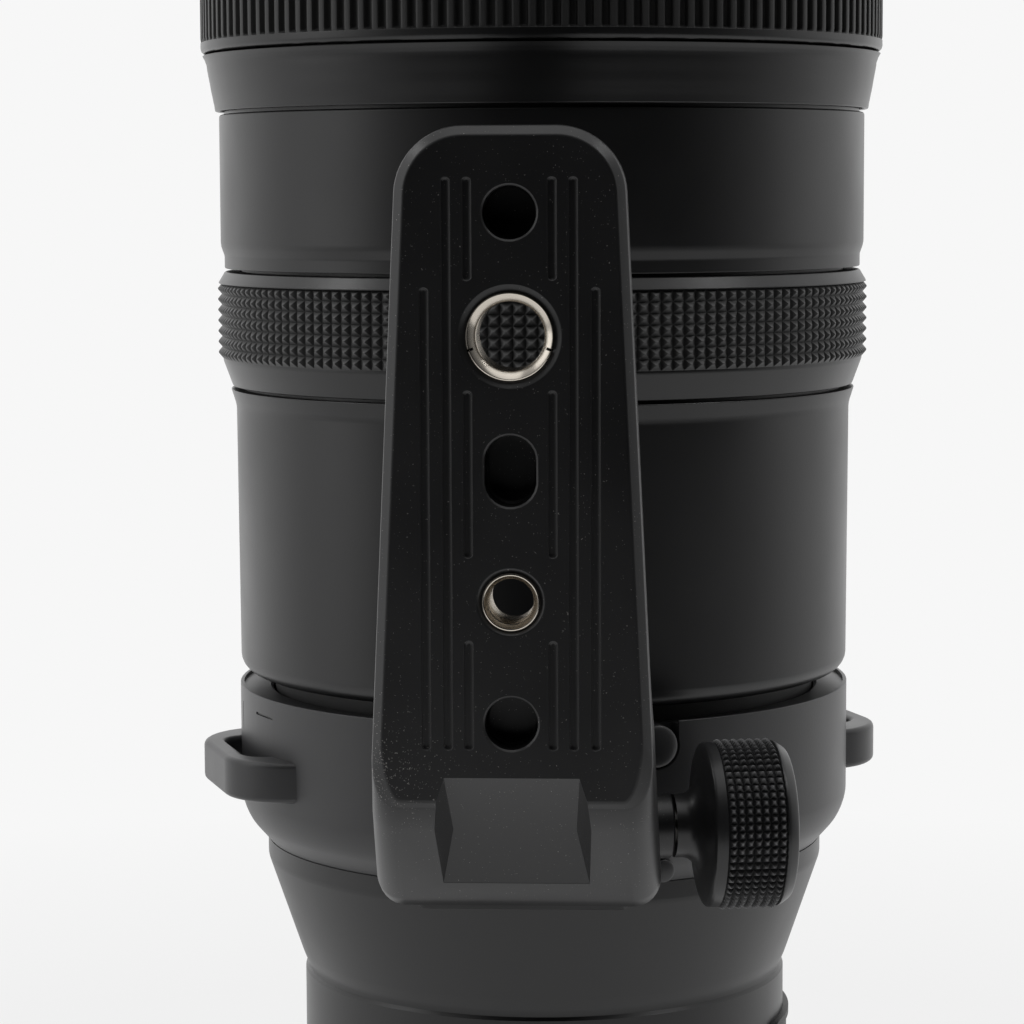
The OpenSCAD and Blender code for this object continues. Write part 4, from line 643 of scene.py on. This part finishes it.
def makeFoot():
    g = foot
    column = prismAcross(g["columnSide"], g["column"])
    flanks = [e for e in column.edges
              if len(e.link_faces) == 2 and any(abs(f.normal.x) > 0.9 for f in e.link_faces)]
    bevelEdges(column, flanks, g["columnRim"], 4)
    boss = turnProfile(g["boss"], 64, False, knobPlace)
    cuts = [plug(*g["seat"], 192)]
    wall = [(g["pinRadius"] + grow, height) for grow, height in g["pinWall"]]
    for z in g["pins"]:
        cuts.append(turnProfile([(0, g["pinDepth"])] + wall + [(0, 1)], 64, False, facing(0, z)))
    for part in inserts.values():
        out, seat = part["outer"], part["outer"] + part["seat"]
        recess = [(0, -12), (out, -12), (out, -0.55), (out + 0.1, -0.52), (seat - 0.1, -0.16),
                  (seat + 0.05, -0.05), (seat + 0.2, 0.001), (seat + 0.2, 1), (0, 1)]
        cuts.append(turnProfile(recess, 64, False, facing(0, part["height"])))
    middle, half = g["slot"], g["slotHalf"]
    cuts.append(slotCutter(0, middle - half, middle + half, g["slotWidth"], g["slotSteps"]))
    for side in (-1, 1):
        for x, low, high in g["grooves"]:
            cuts.append(slotCutter(side * x, low, high, g["grooveWidth"], g["grooveSteps"]))
    scoop = bmesh.new()
    for side in (-1, 1):
        for x, y, z in g["scoop"]:
            scoop.verts.new((side * x * mm, y * mm, z * mm))
    bmesh.ops.convex_hull(scoop, input=scoop.verts)
    cuts.append(scoop)
    for side in (-1, 1):
        for z in g["screwHeights"]:
            place = Matrix.Translation((side * g["screwSide"] * mm, 0, z * mm))
            cuts.append(plug(*g["screwHole"], 24, place @ Matrix.Rotation(radians(90), 4, "X")))
    cuts.append(plug(*g["bossBore"], 32, knobPlace))
    cast = carve(makeFootPlate(), [column, boss], cuts)
    creaseZ = g["scoop"][0][2]
    def onCrease(v):
        return abs(v.co.y / mm + footFace) < 0.02 and abs(v.co.z / mm - creaseZ) < 0.02
    crease = [e for e in cast.edges if all(onCrease(v) for v in e.verts)]
    bevelEdges(cast, crease, g["scoopEase"], 4)
    addPiece("tripodFootCast", cast, "footPaint", "collar", ["foot"], smoothAngle=26)

makeFoot()
print("foot made")


# collar ring with its clamp pocket, two stop pegs and two engraved marks

collar = {"pegAzimuth": 23, "pegZ": 101.75, "peg": 3.25, "pegReach": (46.7, 50.4), "pocket": 3.5,
          "lowPegAzimuth": 24.4, "lowPegZ": 82.45, "lowPeg": 1.75, "lowPegReach": (46.1, 49.7), "dome": 0.22,
          "profile": ((45, 79.9), (45.5, 79.9), (49.9, 84.9, 3), (49.9, 105.5, 0.2), (49.3, 105.5),
                      (49.3, 104.9), (45, 104.9)),
          "pocketFloor": 47.2, "pocketMouth": ((2.3, 0), (2.7, 0.2), (3.4, 0.7)), "markRadius": 50.1,
          "marks": ((-60, 102.6, 6.7, 0.4), (-74.7, 100.75, 0.4, 4.5))}

def outward(degrees, z):
    # local +Z points out of the barrel at an azimuth and a height
    return azimuth(degrees) @ Matrix.Translation((0, 0, z * mm)) @ Matrix.Rotation(radians(90), 4, "Y")

def makeCollar():
    g = collar
    ring = turnProfile(g["profile"])
    p, floor = g["pocket"], g["pocketFloor"]
    pegPlace = outward(g["pegAzimuth"], g["pegZ"])
    mouth = [(p + grow, floor + rise) for rise, grow in g["pocketMouth"]]
    cuts = [turnProfile([(0, floor), (p, floor)] + mouth + [(0, mouth[-1][1])], 48, False, pegPlace)]
    gate = bmesh.new()
    bmesh.ops.create_grid(gate, x_segments=1, y_segments=1, size=p * mm)
    bmesh.ops.translate(gate, vec=(0, 0, floor * mm), verts=gate.verts)
    drawOut(gate, [(rise, 1 + grow / p, 1) for rise, grow in g["pocketMouth"]])
    bmesh.ops.transform(gate, matrix=outward(g["pegAzimuth"], g["pegZ"] + p), verts=gate.verts)
    cuts.append(gate)
    for az, z, across, tall in g["marks"]:
        cuts.append(box((1, across, tall), (g["markRadius"], 0, z), azimuth(az)))
    joined = []
    lowPegPlace = outward(g["lowPegAzimuth"], g["lowPegZ"])
    for radius, (low, high), place in ((g["peg"], g["pegReach"], pegPlace),
                                       (g["lowPeg"], g["lowPegReach"], lowPegPlace)):
        dome = [(radius * cos(radians(a)), high - g["dome"] * radius * (1 - sin(radians(a))))
                for a in range(0, 90, 10)]
        joined.append(turnProfile([(0, low), (radius, low)] + dome + [(0, high)], 48, False, place))
    ring = carve(ring, [], cuts)
    ring = carve(ring, joined, [])
    addPiece("collarRingTurned", ring, "collarPaint", "collar", ["collar_ring"],
             smoothAngle=26)

makeCollar()
print("collar made")


# camera, floor and light

view = {"place": (24.72, -516.74, 186.0), "turn": 3.30, "pitch": 5.892, "roll": -0.256, "focal": 111.03}
cameraData = bpy.data.cameras.new("camera")
cameraData.lens = view["focal"]
cameraData.sensor_width = 36
cameraData.clip_start = 0.01
camera = bpy.data.objects.new("camera", cameraData)
scene.collection.objects.link(camera)
camera.location = Vector(view["place"]) * mm
aim = Matrix.Rotation(radians(view["turn"]), 4, "Z") @ Matrix.Rotation(radians(90 - view["pitch"]), 4, "X")
camera.rotation_euler = (aim @ Matrix.Rotation(radians(view["roll"]), 4, "Z")).to_euler()
scene.camera = camera

studio = {"floorRadius": 0.47, "floorColour": 0.86, "floorFade": (0.5, 0.95, 0.78, 1.0), "white": 0.93,
          "towardsLight": (-0.27, 0.963, 0.0), "darkSide": -0.78, "whiteSide": 1.0, "light": 1.2}

def makeFloor():
    # pale round table; the camera sees it nearly as white as the background, with the object's shadow on it
    bm = bmesh.new()
    bmesh.ops.create_circle(bm, cap_ends=True, radius=studio["floorRadius"], segments=96)
    low = min(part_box(n)[0].z for n in nodes)
    bmesh.ops.translate(bm, vec=(0, 0, low - 0.0002), verts=bm.verts)
    mesh = bpy.data.meshes.new("floor")
    bm.to_mesh(mesh)
    bm.free()
    material, node, link, shader = newMaterial("floorPaper")
    shader.inputs["Base Color"].default_value = (*[studio["floorColour"]] * 3, 1)
    shader.inputs["Roughness"].default_value = 0.9
    path = node.new("ShaderNodeLightPath")
    place = node.new("ShaderNodeTexCoord")
    reach = node.new("ShaderNodeVectorMath")
    reach.operation = "LENGTH"
    link.new(place.outputs["Object"], reach.inputs[0])
    start, end, least, most = studio["floorFade"]
    fade = spread(node, link, reach.outputs["Value"], start * studio["floorRadius"],
                  end * studio["floorRadius"], least, most)
    seen = eitherRay(node, link, path, ("Is Camera Ray", "Is Glossy Ray", "Is Transmission Ray"))
    amount = node.new("ShaderNodeMath")
    amount.operation = "MULTIPLY"
    link.new(fade, amount.inputs[0])
    link.new(seen, amount.inputs[1])
    glow = node.new("ShaderNodeEmission")
    glow.inputs["Strength"].default_value = studio["white"]
    blend = node.new("ShaderNodeMixShader")
    link.new(amount.outputs[0], blend.inputs["Fac"])
    link.new(shader.outputs[0], blend.inputs[1])
    link.new(glow.outputs[0], blend.inputs[2])
    link.new(blend.outputs[0], node["Material Output"].inputs["Surface"])
    mesh.materials.append(material)
    floor = bpy.data.objects.new("floor", mesh)
    scene.collection.objects.link(floor)

def eitherRay(node, link, path, kinds):
    source = path.outputs[kinds[0]]
    for kind in kinds[1:]:
        join = node.new("ShaderNodeMath")
        join.operation = "MAXIMUM"
        link.new(source, join.inputs[0])
        link.new(path.outputs[kind], join.inputs[1])
        source = join.outputs[0]
    return source

makeFloor()

def makeWorld():
    # white all round, darker where the photographer stood
    world = bpy.data.worlds.new("studio")
    scene.world = world
    world.use_nodes = True
    node, link = world.node_tree.nodes, world.node_tree.links
    place = node.new("ShaderNodeTexCoord")
    side = node.new("ShaderNodeVectorMath")
    side.operation = "DOT_PRODUCT"
    side.inputs[1].default_value = studio["towardsLight"]
    link.new(place.outputs["Generated"], side.inputs[0])
    ramp = node.new("ShaderNodeMapRange")
    ramp.inputs["From Min"].default_value = studio["darkSide"]
    ramp.inputs["From Max"].default_value = studio["whiteSide"]
    ramp.inputs["To Max"].default_value = studio["light"]
    link.new(side.outputs["Value"], ramp.inputs["Value"])
    seen = node.new("ShaderNodeMix")
    seen.data_type = "FLOAT"
    seen.inputs["B"].default_value = studio["white"]
    path = node.new("ShaderNodeLightPath")
    link.new(eitherRay(node, link, path, ("Is Camera Ray", "Is Transmission Ray")), seen.inputs["Factor"])
    link.new(ramp.outputs["Result"], seen.inputs["A"])
    link.new(seen.outputs["Result"], node["Background"].inputs["Strength"])
    node["Background"].inputs["Color"].default_value = (1, 1, 1, 1)

makeWorld()

# places, aims and sizes in metres, power in watts
lamps = {
    "topSoftbox": {"place": (0.1, -0.25, 1.3), "aim": (0, 0, 0.2), "size": (1.2, 1.0), "power": 3},
    "leftSoftbox": {"place": (-1.1, -0.35, 0.5), "aim": (0, 0, 0.15), "size": (0.6, 1.2), "power": 2},
    "rightSoftbox": {"place": (1.2, 0.3, 0.5), "aim": (0, 0, 0.15), "size": (0.8, 1.2), "power": 1.0},
    "upperRightPanel": {"place": (0.70, -0.11, 0.92), "aim": (0, -0.09, 0.19), "size": (0.16, 0.16),
                        "power": 0.8},
    "upperLeftPanel": {"place": (-0.75, -0.02, 0.86), "aim": (0, -0.09, 0.19), "size": (0.16, 0.16),
                       "power": 0.6}}

def makeLamp(name, place, aim, size, power):
    data = bpy.data.lights.new(name, "AREA")
    data.shape = "RECTANGLE"
    data.size, data.size_y = size
    data.energy = power
    lamp = bpy.data.objects.new(name, data)
    scene.collection.objects.link(lamp)
    lamp.location = place
    lamp.rotation_euler = (Vector(aim) - Vector(place)).to_track_quat("-Z", "Y").to_euler()

for name, lamp in lamps.items():
    makeLamp(name, **lamp)
scene.view_settings.view_transform = "Standard"
print("camera, floor and light set")
